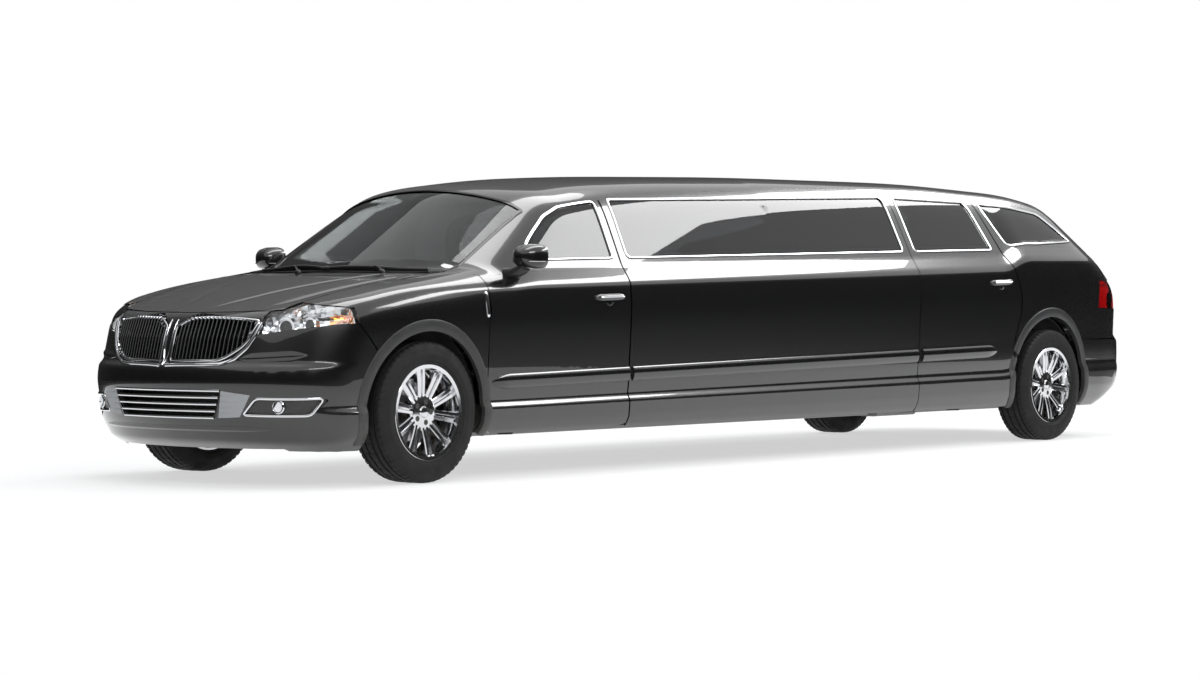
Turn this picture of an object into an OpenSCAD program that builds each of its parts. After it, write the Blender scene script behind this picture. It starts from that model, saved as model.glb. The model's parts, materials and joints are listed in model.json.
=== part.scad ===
// Stretch limousine on a long-wheelbase luxury estate.
// Frame: +X forward, +Y to the left, +Z up, millimetres.
// The origin is on the ground under the middle of the overall length.

/* [Overall] */
// Distance between the axles
wheelbase = 6043; // [5400:1:6600]
// Nose ahead of the front axle
front_overhang = 1020; // [960:1:1080]
// Tail behind the rear axle
rear_overhang = 1258; // [1180:1:1330]
// Width across the body sides
body_width = 1930; // [1850:1:2000]
// Height of the roof
body_height = 1712; // [1660:1:1780]
// Height of the window sills beside the driver
belt_height = 1120; // [1090:1:1150]
// Rise of the window sills from the driver's door to the rear door, as a share of the cabin above them
belt_rise_share = 0.186; // [0.10:0.002:0.22]
// Further step of the window sills at the rear pillar, as the same share
belt_kick_share = 0.118; // [0.06:0.002:0.15]

/* [Panels] */
// Thickness of the doors and cabin walls
wall_t = 56; // [40:1:60]
// Thickness of the fenders and bumper covers
cover_t = 30; // [20:1:36]
// Thickness of the roof and the lids
lid_t = 34; // [24:1:40]
// Gap between neighbouring panels
shut_gap = 7; // [6:0.5:9]
// Thickness of the window glass
glass_t = 6; // [4:0.5:8]
// Depth of the glass behind the outer skin
glass_sink = 5; // [3:0.5:8]
// Length of the front doors
front_door_length = 1180; // [1100:1:1250]
// Length of the rear doors at mid height
rear_door_length = 1130; // [1050:1:1200]

/* [Wheels] */
// Outer diameter of the tyres
tyre_d = 741; // [720:1:760]
// Width of the tyres
tyre_w = 235; // [215:1:245]
// Diameter of the rims at the bead seats
rim_d = 483; // [470:1:500]
// Distance between the wheel centre planes of one axle
track = 1666; // [1640:1:1690]
// Number of spokes
spokes = 10; // [8:1:12]
// Radius of the wheel arches
arch_r = 424; // [412:1:436]
// Radius of the rear wheel arches
rear_arch_r = 456; // [440:1:470]
// Radius of the wheel spindles
spindle_r = 30; // [26:1:34]
// Radius of the steering pivots
kingpin_r = 14; // [12:1:16]

/* [Hidden] */

// Overrun of every cut past the faces that it opens
overrun = 60;
// Play between a piece and the seat that holds it
seat_play = 0.3;
half_w = body_width / 2;
roof_rise = body_height - belt_height;
belt_rise = belt_rise_share * roof_rise;
belt_kick = belt_kick_share * roof_rise;
front_axle_x = (wheelbase + rear_overhang - front_overhang) / 2;
rear_axle_x = front_axle_x - wheelbase;
wheel_z = tyre_d / 2;
sky = 2 * body_height;

// Places along the car, as shares of an overhang ahead of the front axle or behind the rear axle
function front_x(share) = front_axle_x + share * front_overhang;
function rear_x(share) = rear_axle_x - share * rear_overhang;

// A ramp from 0 to u that turns over a stretch of w on each side of 0
function soft(u, w) = u <= -w ? 0 : u >= w ? u : pow(u + w, 3) * (3 * w - u) / (16 * pow(w, 3));
function total(v, i = 0, s = 0) = i == len(v) ? s : total(v, i + 1, s + v[i]);
function grade(t, i) = (t[i + 1][1] - t[i][1]) / (t[i + 1][0] - t[i][0]);
// A straight-sided line with rounded corners, from rows of [place, value, rounding]
function soft_line(t) = [t[0], grade(t, 0),
    [for (i = [1 : len(t) - 2]) [t[i][0], grade(t, i) - grade(t, i - 1), t[i][2]]]];
function on_line(k, s) = k[0][1] + k[1] * (s - k[0][0]) + total([for (c = k[2])
    c[1] * soft(s - c[0], c[2])]);
// The larger of two distances, with the edge between them rounded over r
function smooth_max(a, b, r) = let (h = max(r - abs(a - b), 0) / r) max(a, b) + r * h * h * h / 6;

// Section of the body side: share of the belt height, inset as a share of the half width, rounding share
side_shares = [[0.170, 0.120, 0], [0.225, 0.046, 0.020], [0.265, 0.022, 0.020], [0.340, 0.015, 0.012],
    [0.366, 0.034, 0.012], [0.420, 0.026, 0.030], [0.800, 0, 0.120], [0.915, 0.010, 0.035],
    [1.000, 0.078, 0.016]];
// The section ends this share of the cabin height above the belt, with this inset share
rail_level_share = 0.8135;
rail_inset_share = 0.285;
side_line = soft_line(concat([for (r = side_shares) [r[0] * belt_height, r[1] * half_w, r[2] * belt_height]],
    [[belt_height + rail_level_share * roof_rise, rail_inset_share * half_w, 0]]));

// Narrowing of the body in plan: share of an overhang, inset share of the half width, rounding share
tail_plan_shares = [[1.00, 0.170, 0], [0.62, 0.055, 0.12], [0.10, 0.006, 0.25], [-0.50, 0, 0.30]];
nose_plan_shares = [[-0.60, 0, 0.30], [0.10, 0.006, 0.25], [0.55, 0.050, 0.20], [1.00, 0.160, 0]];
plan_line = soft_line(concat(
    [for (r = tail_plan_shares) [rear_x(r[0]), r[1] * half_w, r[2] * rear_overhang]],
    [for (r = nose_plan_shares) [front_x(r[0]), r[1] * half_w, r[2] * front_overhang]]));

// Rise of the belt line along the car
belt_line = soft_line([[rear_x(0.20), belt_rise + belt_kick, 0],
    [rear_x(-0.27), belt_rise + belt_kick, 0.10 * rear_overhang],
    [rear_x(-0.42), belt_rise, 0.08 * rear_overhang], [front_x(-0.50), 0, 0.40 * front_overhang],
    [front_x(0.50), 0, 0]]);
function belt_lift(x) = on_line(belt_line, x);
// Heights between these two shares of the belt height stretch as the belt rises
lift_low_share = 0.20;
lift_high_share = 0.50;
lift_low = lift_low_share * belt_height;
lift_high = lift_high_share * belt_height;
function level_of(x, z) = let (l = belt_lift(x)) z <= lift_low ? z
    : z <= lift_high + l ? lift_low + (z - lift_low) * (lift_high - lift_low) / (lift_high - lift_low + l)
    : z <= belt_height + l ? z - l
    : belt_height + (z - belt_height - l) * roof_rise / (roof_rise - l);
function height_of(x, level) = let (l = belt_lift(x)) level <= lift_low ? level
    : level <= lift_high ? lift_low + (level - lift_low) * (lift_high - lift_low + l) / (lift_high - lift_low)
    : level <= belt_height ? level + l
    : belt_height + l + (level - belt_height) * (roof_rise - l) / roof_rise;

// Half width of the body side at a place and height
function side_half(x, z) = half_w - on_line(side_line, level_of(x, z)) - on_line(plan_line, x);

// Centre line from the tail over the roof and down the screen: place share, height share, rounding share
tail_top_shares = [[1.05, -0.14, 0], [0.89, 0.08, 0.05], [0.36, 0.84, 0.10], [0.08, 0.935, 0.22],
    [-0.75, 1.00, 0.35]];
screen_top_shares = [[-3.30, 0.985, 0.60], [-2.00, 0.930, 0.40], [-1.45, 0.880, 0.25],
    [-0.95, 0.785, 0.16], [-0.10, -0.045, 0]];
cabin_line = soft_line(concat(
    [for (r = tail_top_shares) [rear_x(r[0]), belt_height + r[1] * roof_rise, r[2] * rear_overhang]],
    [for (r = screen_top_shares) [front_x(r[0]), belt_height + r[1] * roof_rise, r[2] * front_overhang]]));
// Centre line of the hood: place share, height share, rounding share
hood_top_shares = [[-0.80, 1.070, 0], [0.30, 0.930, 0.40], [0.90, 0.780, 0.06], [1.00, 0.700, 0]];
hood_line = soft_line([for (r = hood_top_shares) [front_x(r[0]), r[1] * belt_height,
    r[2] * front_overhang]]);
// Wrap of the screens round the cabin, and the fall of roof and hood to their edges, at the full half width
screen_wrap = 350;
tail_wrap = 300;
roof_crown = 0.169 * roof_rise;
hood_crown = 40;
// Rounding where the screen meets the hood
cowl_blend = 40;
function cabin_z(x, t) = on_line(cabin_line, x + (x > 0 ? screen_wrap : -tail_wrap) * t);
function top_z(x, y) = let (t = pow(y / half_w, 2))
    x > 0 ? smooth_max(cabin_z(x, t) - roof_crown * t, on_line(hood_line, x) - hood_crown * t, cowl_blend)
    : cabin_z(x, t) - roof_crown * t;

// Nose and tail in profile: share of the belt height, share of the overhang, rounding share
nose_shares = [[0.160, 0.800, 0], [0.205, 0.905, 0.020], [0.290, 0.965, 0.030], [0.480, 1.003, 0.050],
    [0.545, 0.990, 0.012], [0.570, 0.958, 0.012], [0.790, 0.900, 0.050], [0.950, 0.720, 0]];
nose_line = soft_line([for (r = nose_shares) [r[0] * belt_height, r[1] * front_overhang,
    r[2] * belt_height]]);
tail_shares = [[0.200, 0.740, 0], [0.300, 0.930, 0.030], [0.340, 0.965, 0.030], [0.470, 1.003, 0.050],
    [0.585, 0.985, 0.015], [0.620, 0.930, 0.015], [0.900, 0.935, 0.050], [0.985, 0.920, 0.030],
        [1.060, 0.820, 0]];
tail_line = soft_line([for (r = tail_shares) [r[0] * belt_height, r[1] * rear_overhang,
    r[2] * belt_height]]);
// Sweep of the nose and tail in plan, as shares of the overhang at the full half width
prow_share = 0.03;
prow_blend_share = 0.04;
nose_square_share = 0.20;
nose_fourth_share = 0.23;
tail_square_share = 0.09;
tail_fourth_share = 0.12;
function prow(t) = sqrt(t * t + pow(prow_blend_share, 2)) - prow_blend_share;
function nose_drop(y) = let (t = y / half_w)
    front_overhang * (prow_share * prow(t) + nose_square_share * t * t + nose_fourth_share * pow(t, 4));
function tail_drop(y) = let (t = y / half_w)
    rear_overhang * (tail_square_share * t * t + tail_fourth_share * pow(t, 4));
function nose_x(y, z) = front_axle_x + on_line(nose_line, z) - nose_drop(y);
function tail_x(y, z) = rear_axle_x - on_line(tail_line, z) + tail_drop(y);

// Rounding between side and top, and between those and the ends
edge_blend = 200;
end_blend = 130;
top_slope_share = 0.9;
function end_field(x, y, z) = x > 0 ? x - nose_x(y, z) : tail_x(y, z) - x;
// Signed distance-like field of the whole body: below 0 inside
function body_field(p) = let (y = abs(p[1])) smooth_max(
    smooth_max(y - side_half(p[0], p[2]), top_slope_share * (p[2] - top_z(p[0], y)), edge_blend),
    end_field(p[0], y, p[2]), end_blend);

// Distance along a ray from inside the body to its skin
ray_reach = 1500;
function hit(o, d, lo = 0, hi = ray_reach, n = 20) = n == 0 ? (lo + hi) / 2
    : let (m = (lo + hi) / 2) body_field(o + m * d) < 0 ? hit(o, d, m, hi, n - 1) : hit(o, d, lo, m, n - 1);

// A solid layer of the skin, from a grid of rays [origin, direction] that runs clockwise seen from outside
module skin_layer(rays, depth, sink = 0) {
    nu = len(rays);
    nv = len(rays[0]);
    outer = [for (row = rays) for (r = row) r[0] + (hit(r[0], r[1]) - sink) * r[1]];
    inner = [for (i = [0 : nu * nv - 1]) let (r = rays[floor(i / nv)][i % nv]) outer[i] - depth * r[1]];
    n = nu * nv;
    function id(i, j, side) = side * n + i * nv + j;
    function quad(a, b, c, d) = [[a, b, c], [a, c, d]];
    polyhedron(points = concat(outer, inner), faces = concat(
        [for (i = [0 : nu - 2]) for (j = [0 : nv - 2]) each
            quad(id(i, j, 0), id(i + 1, j, 0), id(i + 1, j + 1, 0), id(i, j + 1, 0))],
        [for (i = [0 : nu - 2]) for (j = [0 : nv - 2]) each
            quad(id(i, j, 1), id(i, j + 1, 1), id(i + 1, j + 1, 1), id(i + 1, j, 1))],
        [for (i = [0 : nu - 2]) each quad(id(i, 0, 1), id(i + 1, 0, 1), id(i + 1, 0, 0), id(i, 0, 0))],
        [for (i = [0 : nu - 2]) each quad(id(i, nv - 1, 0), id(i + 1, nv - 1, 0), id(i + 1, nv - 1, 1),
            id(i, nv - 1, 1))],
        [for (j = [0 : nv - 2]) each quad(id(0, j, 0), id(0, j + 1, 0), id(0, j + 1, 1), id(0, j, 1))],
        [for (j = [0 : nv - 2]) each quad(id(nu - 1, j, 1), id(nu - 1, j + 1, 1), id(nu - 1, j + 1, 0),
            id(nu - 1, j, 0))]),
        convexity = 8);
}

function spread(a, b, n) = [for (i = [0 : n]) a + (b - a) * i / n];

// Levels of the side layers, as shares of the belt height
side_level_shares = [0.172, 0.225, 0.265, 0.335, 0.372, 0.550, 0.800, 0.880, 0.925, 0.965, 1.000, 1.030,
    1.240, 1.440, 1.480];
// Levels above the belt spread from the belt to the roof rail
top_level_share = 1.48;
rail_inset = 8;
function layer_z(x, s) = s <= 1 ? height_of(x, s * belt_height) : let (base = height_of(x, belt_height),
    rail = max(top_z(x, corner_y(x)) - rail_inset, base + rail_inset))
    base + (rail - base) * (s - 1) / (top_level_share - 1);
function side_rays(xs) = [for (x = xs) [for (s = side_level_shares) [[x, 0, layer_z(x, s)], [0, 1, 0]]]];
function top_rays(xs, ys) = [for (y = ys) [for (x = xs) [[x, y, belt_height / 2], [0, 0, 1]]]];
// Rays that fan out in plan from a point on the centre plane
nose_eye_share = 0.15;
function nose_rays(angles, zs) = [for (z = zs) [for (a = angles)
    [[front_x(nose_eye_share), 0, z], [cos(a), sin(a), 0]]]];

// Plan half width at which the side meets the top
function corner_y(x, lo = 0, hi = 1.2 * half_w, n = 20) = n == 0 ? (lo + hi) / 2
    : let (m = (lo + hi) / 2) m < side_half(x, top_z(x, m)) ? corner_y(x, m, hi, n - 1) : corner_y(x, lo,
        m, n - 1);

// Rounded outline from corners [a, b, setback]: each corner becomes an arc that starts its setback away
arc_steps = 4;
function unit(v) = v / norm(v);
function flat(p) = [p[0], p[1]];
function rounded(c) = [for (i = [0 : len(c) - 1])
    let (p = flat(c[i]), a = unit(flat(c[(i + len(c) - 1) % len(c)]) - p),
        b = unit(flat(c[(i + 1) % len(c)]) - p), r = c[i][2])
    each r == 0 ? [p] : [for (k = [0 : arc_steps]) let (s = k / arc_steps)
        p + r * (pow(1 - s, 2) * a + pow(s, 2) * b)]];
// The same corners moved outwards by d, for corners that run counter-clockwise
function grown(c, d) = [for (i = [0 : len(c) - 1])
    let (p = flat(c[i]), e = unit(p - flat(c[(i + len(c) - 1) % len(c)])),
        f = unit(flat(c[(i + 1) % len(c)]) - p),
        m = [e[1], -e[0]], n = [f[1], -f[0]], q = p + d * (m + n) / (1 + m * n))
    [q[0], q[1], c[i][2]]];

module both_sides() {
    children();
    mirror([0, 1, 0]) children();
}
// An outline of [x, z] points carried through the left half of the body
module left_prism(points, inner = 0) translate([0, half_w + overrun, 0]) rotate([90, 0, 0])
    linear_extrude(half_w + overrun - inner) polygon(points);
// An outline of [x, y] points carried up through the whole body
module plan_prism(points) linear_extrude(sky) polygon(points);
// An outline of [y, z] points carried along x
module long_prism(points, x0, x1) translate([x0, 0, 0]) rotate([90, 0, 90]) linear_extrude(x1 - x0)
    polygon(points);
module arch_cut(x, r) translate([x, 0, wheel_z]) rotate([90, 0, 0])
    cylinder(r = r, h = 2 * (half_w + overrun), center = true, $fn = 96);

paint = [0.05, 0.05, 0.06];
trim = [0.12, 0.12, 0.13];
chrome = [0.78, 0.79, 0.80];
clear = [0.55, 0.65, 0.70, 0.6];
tint = [0.10, 0.12, 0.14, 0.7];
red = [0.65, 0.05, 0.06];
rubber = [0.06, 0.06, 0.06];
steel = [0.45, 0.46, 0.48];
leather = [0.16, 0.15, 0.15];

// Shut lines along the body side, with the rear one as rows of [ahead of the rear axle, height] shares
door_bottom_z = 0.236 * belt_height;
latch_gap = 12;
hinge_x = front_x(-0.44);
b_seam_x = hinge_x - front_door_length;
rear_seam_shares = [[0.350, -0.20], [0.350, 0.62], [0.300, 0.76], [0.300, 0.86], [0.405, 1.10],
    [0.505, 1.50], [0.53, 1.62]];
function rear_seam(shift) = [for (r = rear_seam_shares) [rear_x(-r[0]) + shift, r[1] * belt_height]];
rear_hinge_x = rear_x(-0.35) + rear_door_length;
door_arch_r = rear_arch_r + 2;
// The roof ends this far inside the corner of side and top
roof_inset = 8;
pillar_front_x = hinge_x - shut_gap;
roof_end_x = rear_x(0.58);
roof_edge_xs = concat(spread(roof_end_x, rear_x(-0.7), 12), spread(rear_x(-1), front_x(-2.2), 3),
    spread(front_x(-1.9), pillar_front_x, 14));
function roof_edge(shift) = [for (x = roof_edge_xs) [x, corner_y(x) - roof_inset + shift]];
function flipped(points) = [for (i = [len(points) - 1 : -1 : 0]) [points[i][0], -points[i][1]]];
// The front pillars end in a point beside the screen's foot
pillar_tip_x = front_x(-0.29);
pillar_tip_y = 0.77 * half_w;
function pillar_edge(shift) = concat(roof_edge(shift), [[pillar_tip_x + shift, pillar_tip_y + shift]]);
roof_zone_z = 0.96 * belt_height;
module roof_zone(shift) translate([0, 0, roof_zone_z])
    plan_prism(concat(flipped(pillar_edge(shift)), pillar_edge(shift)));

// Side windows: the sill runs along the belt, the head along the roof rail
sill_rise_share = 0.066;
head_frame_share = 0.1385;
sash = 62;
window_round = 30;
function sill_z(x) = height_of(x, belt_height + sill_rise_share * roof_rise);
function head_z(x) = top_z(x, corner_y(x)) - head_frame_share * roof_rise;
function window(sill_xs, head_xs, r = window_round) = concat([for (x = sill_xs) [x, sill_z(x), r]],
    [for (x = head_xs) [x, head_z(x), r]]);

front_window = window([b_seam_x + sash, hinge_x - 0.30 * front_door_length],
    concat([for (s = [0.39, 0.47, 0.56, 0.68, 0.82]) hinge_x - s * front_door_length], [b_seam_x + sash]),
        0.7 * window_round);
stretch_window = window([rear_hinge_x + sash, b_seam_x - sash], [b_seam_x - sash, rear_hinge_x + sash]);
rear_window = window([rear_x(-0.44) + sash, rear_hinge_x - sash],
    [rear_hinge_x - sash, rear_x(-0.51) + sash]);
quarter_window = window([rear_x(0.31), rear_x(-0.40) - sash],
    [rear_x(-0.49) - sash, rear_x(-0.15), rear_x(0.10)]);

module side_wall(xs, outline, windows, roof_gap) difference() {
    intersection() {
        skin_layer(side_rays(xs), wall_t);
        left_prism(outline);
    }
    roof_zone(roof_gap);
    for (w = windows) left_prism(rounded(w));
}
pane_level_shares = [1.010, 1.080, 1.240, 1.440, 1.480];
module side_pane(x0, x1, n, w) intersection() {
    skin_layer([for (x = spread(x0, x1, n)) [for (s = pane_level_shares)
        [[x, 0, layer_z(x, s)], [0, 1, 0]]]], glass_t, glass_sink);
    left_prism(rounded(grown(w, -seat_play)));
}

front_door_xs = spread(b_seam_x - overrun, hinge_x + overrun, 8);
stretch_xs = spread(rear_hinge_x - overrun, b_seam_x + overrun, 4);
rear_door_xs = concat(spread(rear_x(-0.20), rear_x(-0.50), 6),
    spread(rear_x(-0.70), rear_hinge_x + overrun, 3));
// Hinge barrels turn on the doors' axes, at the widest part of the body
barrel_r = shut_gap - seat_play;
hinge_y = 0.997 * half_w;
module door_barrel(x) translate([x - shut_gap, hinge_y, 0.77 * belt_height])
    cylinder(r = barrel_r, h = 0.06 * belt_height, $fn = 32);
// A raised strip on the body side between two levels, from rows along x
function strip_rays(xs, low, high) = [for (x = xs) [for (v = [low, high]) [[x, 0, height_of(x, v)],
    [0, 1, 0]]]];
module raised_strip(xs, low, high, proud) skin_layer(strip_rays(xs, low, high), proud + wall_t / 2, -proud);
// Lower body moulding and pull handles, by level shares
moulding_low = 0.4286 * belt_height;
moulding_high = 0.4910 * belt_height;
moulding_proud = 11;
moulding_end = 18;
module moulding(x0, x1, n) raised_strip(spread(x0 + moulding_end, x1 - moulding_end, n), moulding_low,
    moulding_high, moulding_proud);
handle_low = 0.829 * belt_height;
handle_high = 0.858 * belt_height;
handle_proud = 24;
handle_start = 82;
handle_length = 235;
module handle(x) raised_strip(spread(x + handle_start, x + handle_start + handle_length, 3), handle_low,
    handle_high, handle_proud);
// Door mirror: a housing that tapers forwards on a short arm
mirror_depth = 125;
mirror_h = 132;
mirror_lip = 14;
mirror_round = 44;
mirror_in_y = 0.955 * half_w;
mirror_out_y = 1.128 * half_w;
mirror_x = hinge_x - 0.27 * front_door_length;
mirror_z = 1.057 * belt_height;
mirror_taper = 0.60;
module mirror_face(x, k) translate([x, (mirror_in_y + mirror_out_y) / 2, mirror_z]) rotate([90, 0, 90])
    linear_extrude(mirror_lip) scale(k) polygon(rounded([for (c = [[-1, -1], [1, -1], [1, 1], [-1, 1]])
        [c[0] * (mirror_out_y - mirror_in_y) / 2, c[1] * mirror_h / 2, mirror_round]]));
arm_in_y = 0.90 * half_w;
module door_mirror() {
    hull() {
        mirror_face(mirror_x, 1);
        mirror_face(mirror_x + mirror_depth, mirror_taper);
    }
    translate([0, 0, 0.955 * belt_height]) linear_extrude(mirror_z - 0.955 * belt_height) polygon([
        [mirror_x + mirror_depth, arm_in_y], [mirror_x + 0.7 * mirror_depth, mirror_in_y + mirror_round],
        [mirror_x + 0.3 * mirror_depth, mirror_in_y + mirror_round],
            [mirror_x + 0.2 * mirror_depth, arm_in_y]]);
}
module front_door() color(paint) {
    front_door_shell();
    door_barrel(hinge_x);
    moulding(b_seam_x, hinge_x - moulding_end, 5);
    handle(b_seam_x);
    door_mirror();
}
module front_door_shell() side_wall(front_door_xs,
    [[b_seam_x + latch_gap, door_bottom_z], [hinge_x - shut_gap, door_bottom_z], [hinge_x - shut_gap, sky],
    [b_seam_x + 2 * latch_gap, sky], [b_seam_x + latch_gap, belt_height]], [front_window], shut_gap);
module front_glass() color(tint) side_pane(b_seam_x, hinge_x - 0.2 * front_door_length, 8, front_window);
module rear_door() color(paint) {
    rear_door_shell();
    door_barrel(rear_hinge_x);
    moulding(rear_x(-0.52), rear_hinge_x - moulding_end, 4);
    handle(rear_x(-0.35));
}
module rear_door_shell() difference() {
    side_wall(rear_door_xs, concat([[rear_hinge_x - shut_gap, sky]],
        [for (i = [len(rear_seam_shares) - 1 : -1 : 0])
            let (p = rear_seam(latch_gap)[i]) [p[0], max(p[1], door_bottom_z)]],
        [[rear_hinge_x - shut_gap, door_bottom_z]]), [rear_window], shut_gap);
    arch_cut(rear_axle_x, door_arch_r);
}
module rear_glass() color(tint) side_pane(rear_x(-0.42), rear_hinge_x, 6, rear_window);
module stretch_panel() color(paint) {
    side_wall(stretch_xs, [[rear_hinge_x, door_bottom_z], [b_seam_x, door_bottom_z], [b_seam_x, sky],
        [rear_hinge_x, sky]],
        [stretch_window], seat_play);
    moulding(rear_hinge_x, b_seam_x, 4);
    box(rear_hinge_x, b_seam_x, sill_in_y + sill_w + seat_play, 0.93 * half_w, floor_z + floor_t,
        floor_z + sill_h);
}

// Rear quarter: along the side, then round the corner
tail_eye_x = rear_x(0.50);
quarter_xs = spread(rear_x(0.48), rear_x(-0.62), 7);
quarter_angles = spread(152, 90, 6);
function quarter_rays() = concat(
    [for (a = quarter_angles) [for (s = side_level_shares) [[tail_eye_x, 0, layer_z(tail_eye_x, s)],
        [cos(a), sin(a), 0]]]],
    side_rays(quarter_xs));
bumper_top_share = 0.60;
module quarter() color(paint) {
    quarter_shell();
    house_tab(rear_axle_x);
}
module quarter_shell() difference() {
    skin_layer(quarter_rays(), wall_t);
    left_prism(concat(rear_seam(0), [[front_axle_x, sky], [front_axle_x, -overrun]]));
    arch_cut(rear_axle_x, rear_arch_r);
    left_prism([[rear_x(-0.60), -overrun], [rear_x(-0.20), -overrun], [rear_x(-0.20), door_bottom_z],
        [rear_x(-0.60), door_bottom_z]]);
    roof_zone(seat_play);
    tailgate_zone(shut_gap);
    rear_bumper_zone(0);
    left_prism(rounded(quarter_window));
    tail_lamp_zone(0);
}
// A tab on the inside of a panel that stands on the crown of the wheelhouse
tab_w = 60;
module house_tab(x) box(x - tab_w / 2, x + tab_w / 2, house_out_y - tab_w, 0.975 * half_w,
    wheel_z + house_r + house_t + seat_play, wheel_z + house_r + house_t + tab_w);
module quarter_glass() color(tint) difference() {
    side_pane(rear_x(0.42), rear_x(-0.52), 8, quarter_window);
    roof_zone(shut_gap);
}

// Tailgate: bounded in the rear view, and ahead by the roof seam
tailgate_shares = [[0.60, 0.605], [0.66, 0.66], [0.66, 0.98], [0.60, 1.45], [0.60, 2.10]];
tailgate_seam_x = rear_x(0.10);
module tailgate_zone(gap) long_prism(concat(
    [for (r = tailgate_shares) [r[0] * half_w + gap,
        r[1] * belt_height - (r[1] < tailgate_shares[1][1] ? gap : 0)]],
    [for (i = [len(tailgate_shares) - 1 : -1 : 0]) let (r = tailgate_shares[i])
        [-r[0] * half_w - gap, r[1] * belt_height - (i == 0 ? gap : 0)]]),
    rear_x(1.2), tailgate_seam_x + gap);
tailgate_angles = [-28, -23, -18, -6, 4, 10, 14, 19, 26, 40, 54, 64, 74, 84, 93];
tailgate_eye_x = rear_x(0.12);
tailgate_eye_z = 0.90 * belt_height;
tailgate_ys = spread(-0.70 * half_w, 0.70 * half_w, 8);
function tailgate_rays(angles) = [for (y = tailgate_ys) [for (a = angles) [[tailgate_eye_x, y,
    tailgate_eye_z], [-cos(a), 0, sin(a)]]]];
// Rear window corners: share of the half width, share of the cabin height above the belt
tail_glass_shares = [[-0.54, 0.19], [0.54, 0.19], [0.50, 0.73], [-0.50, 0.73]];
function tail_glass_points(d = 0) = rounded(grown([for (c = tail_glass_shares)
    [c[0] * half_w, belt_height + c[1] * roof_rise, 2 * window_round]], d));
module hinge_barrel(length) rotate([90, 0, 0]) cylinder(r = barrel_r, h = length, center = true, $fn = 32);
module tailgate() color(paint) {
    tailgate_shell();
    translate([tailgate_seam_x, 0, top_z(tailgate_seam_x, 0)]) hinge_barrel(0.3 * half_w);
}
module tailgate_shell() difference() {
    intersection() {
        skin_layer(tailgate_rays(tailgate_angles), lid_t);
        tailgate_zone(0);
    }
    long_prism(tail_glass_points(), rear_x(1.2), front_x(0));
}
module tailgate_glass() color(tint) intersection() {
    skin_layer(tailgate_rays([for (a = tailgate_angles) if (a > 0) a]), glass_t, glass_sink);
    long_prism(tail_glass_points(-seat_play), rear_x(1.2), front_x(0));
}

// Tail lamps fill openings in the corners
tail_lamp_shares = [[0.60, 0.76], [1.10, 0.80], [1.10, 0.95], [0.60, 0.955]];
module tail_lamp_zone(d) long_prism([for (c = grown([for (r = tail_lamp_shares) [r[0] * half_w,
    r[1] * belt_height]], d)) flat(c)],
    rear_x(1.2), rear_x(0.52) + d);
module tail_lamp() color(red) difference() {
    intersection() {
        skin_layer([for (a = spread(150, 92, 8)) [for (s = spread(0.74, 1.0, 4))
            [[tail_eye_x, 0, s * belt_height], [cos(a), sin(a), 0]]]], cover_t, glass_sink);
        tail_lamp_zone(-seat_play);
    }
    roof_zone(shut_gap);
    tailgate_zone(shut_gap);
}

// Rear bumper below the tailgate
module rear_bumper_zone(gap) translate([rear_x(1.2), -half_w - overrun, -overrun])
    cube([rear_x(0.23) - rear_x(1.2) + gap, 2 * (half_w + overrun),
        bumper_top_share * belt_height + overrun + gap]);
rear_bumper_angles = spread(269, 91, 22);
rear_bumper_eye_x = rear_x(0.22);
rear_bumper_shares = [0.205, 0.245, 0.280, 0.440, 0.490, 0.575, 0.605];
tail_panel_x = rear_x(0.68);
tail_panel_t = 25;
tail_panel_top_z = 0.34 * belt_height;
module rear_bumper() color(paint) {
    rear_bumper_shell();
    both_sides() box(rear_x(0.888), tail_panel_x - seat_play, 0.25 * half_w, 0.35 * half_w,
        0.290 * belt_height, 0.322 * belt_height);
}
module rear_bumper_shell() difference() {
    intersection() {
        skin_layer([for (a = rear_bumper_angles) [for (s = rear_bumper_shares)
            [[rear_bumper_eye_x, 0, s * belt_height], [cos(a), sin(a), 0]]]], cover_t);
        rear_bumper_zone(-shut_gap);
    }
    arch_cut(rear_axle_x, rear_arch_r);
    tailgate_zone(shut_gap);
}

// Roof with its front and rear pillars
screen_foot_share = -0.10;
function screen_foot_x(y) = front_x(screen_foot_share) - screen_wrap * pow(y / half_w, 2);
function screen_head_x(y) = front_x(-0.93) - 0.4 * screen_wrap * pow(y / half_w, 2);
screen_foot_y = 0.755 * half_w;
screen_head_y = 0.70 * half_w;
screen_lap = 16;
foot_ys = spread(-screen_foot_y, screen_foot_y, 12);
function screen_outline(d) = concat(
    [for (y = foot_ys) [screen_foot_x(y) - screen_lap + d, y * (1 + d / screen_foot_y)]],
    [for (y = spread(screen_head_y, -screen_head_y, 12)) [screen_head_x(y) - d,
        y * (1 + d / screen_head_y)]]);
roof_xs = concat(spread(rear_x(0.70), rear_x(-0.50), 8), spread(rear_x(-0.9), front_x(-2.3), 2),
    spread(front_x(-2.0), front_x(-0.26), 11));
roof_ys = spread(-0.98 * half_w, 0.98 * half_w, 14);
module roof() color(paint) difference() {
    intersection() {
        skin_layer(top_rays(roof_xs, roof_ys), lid_t);
        roof_zone(0);
    }
    plan_prism(screen_outline(0));
    cowl_zone(shut_gap);
    tailgate_zone(shut_gap);
}
// Rays over the screen and the cowl keep their setback from the screen's foot at every width
function foot_rays(setbacks, ys) = [for (y = ys) [for (b = setbacks)
    [[screen_foot_x(y) - b, y, belt_height / 2], [0, 0, 1]]]];
screen_ys = spread(-0.80 * half_w, 0.80 * half_w, 8);
module windshield() color(tint) intersection() {
    skin_layer(foot_rays(spread(0.93 * front_overhang, 0, 9), screen_ys), glass_t, glass_sink);
    plan_prism(screen_outline(-seat_play));
}

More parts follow.
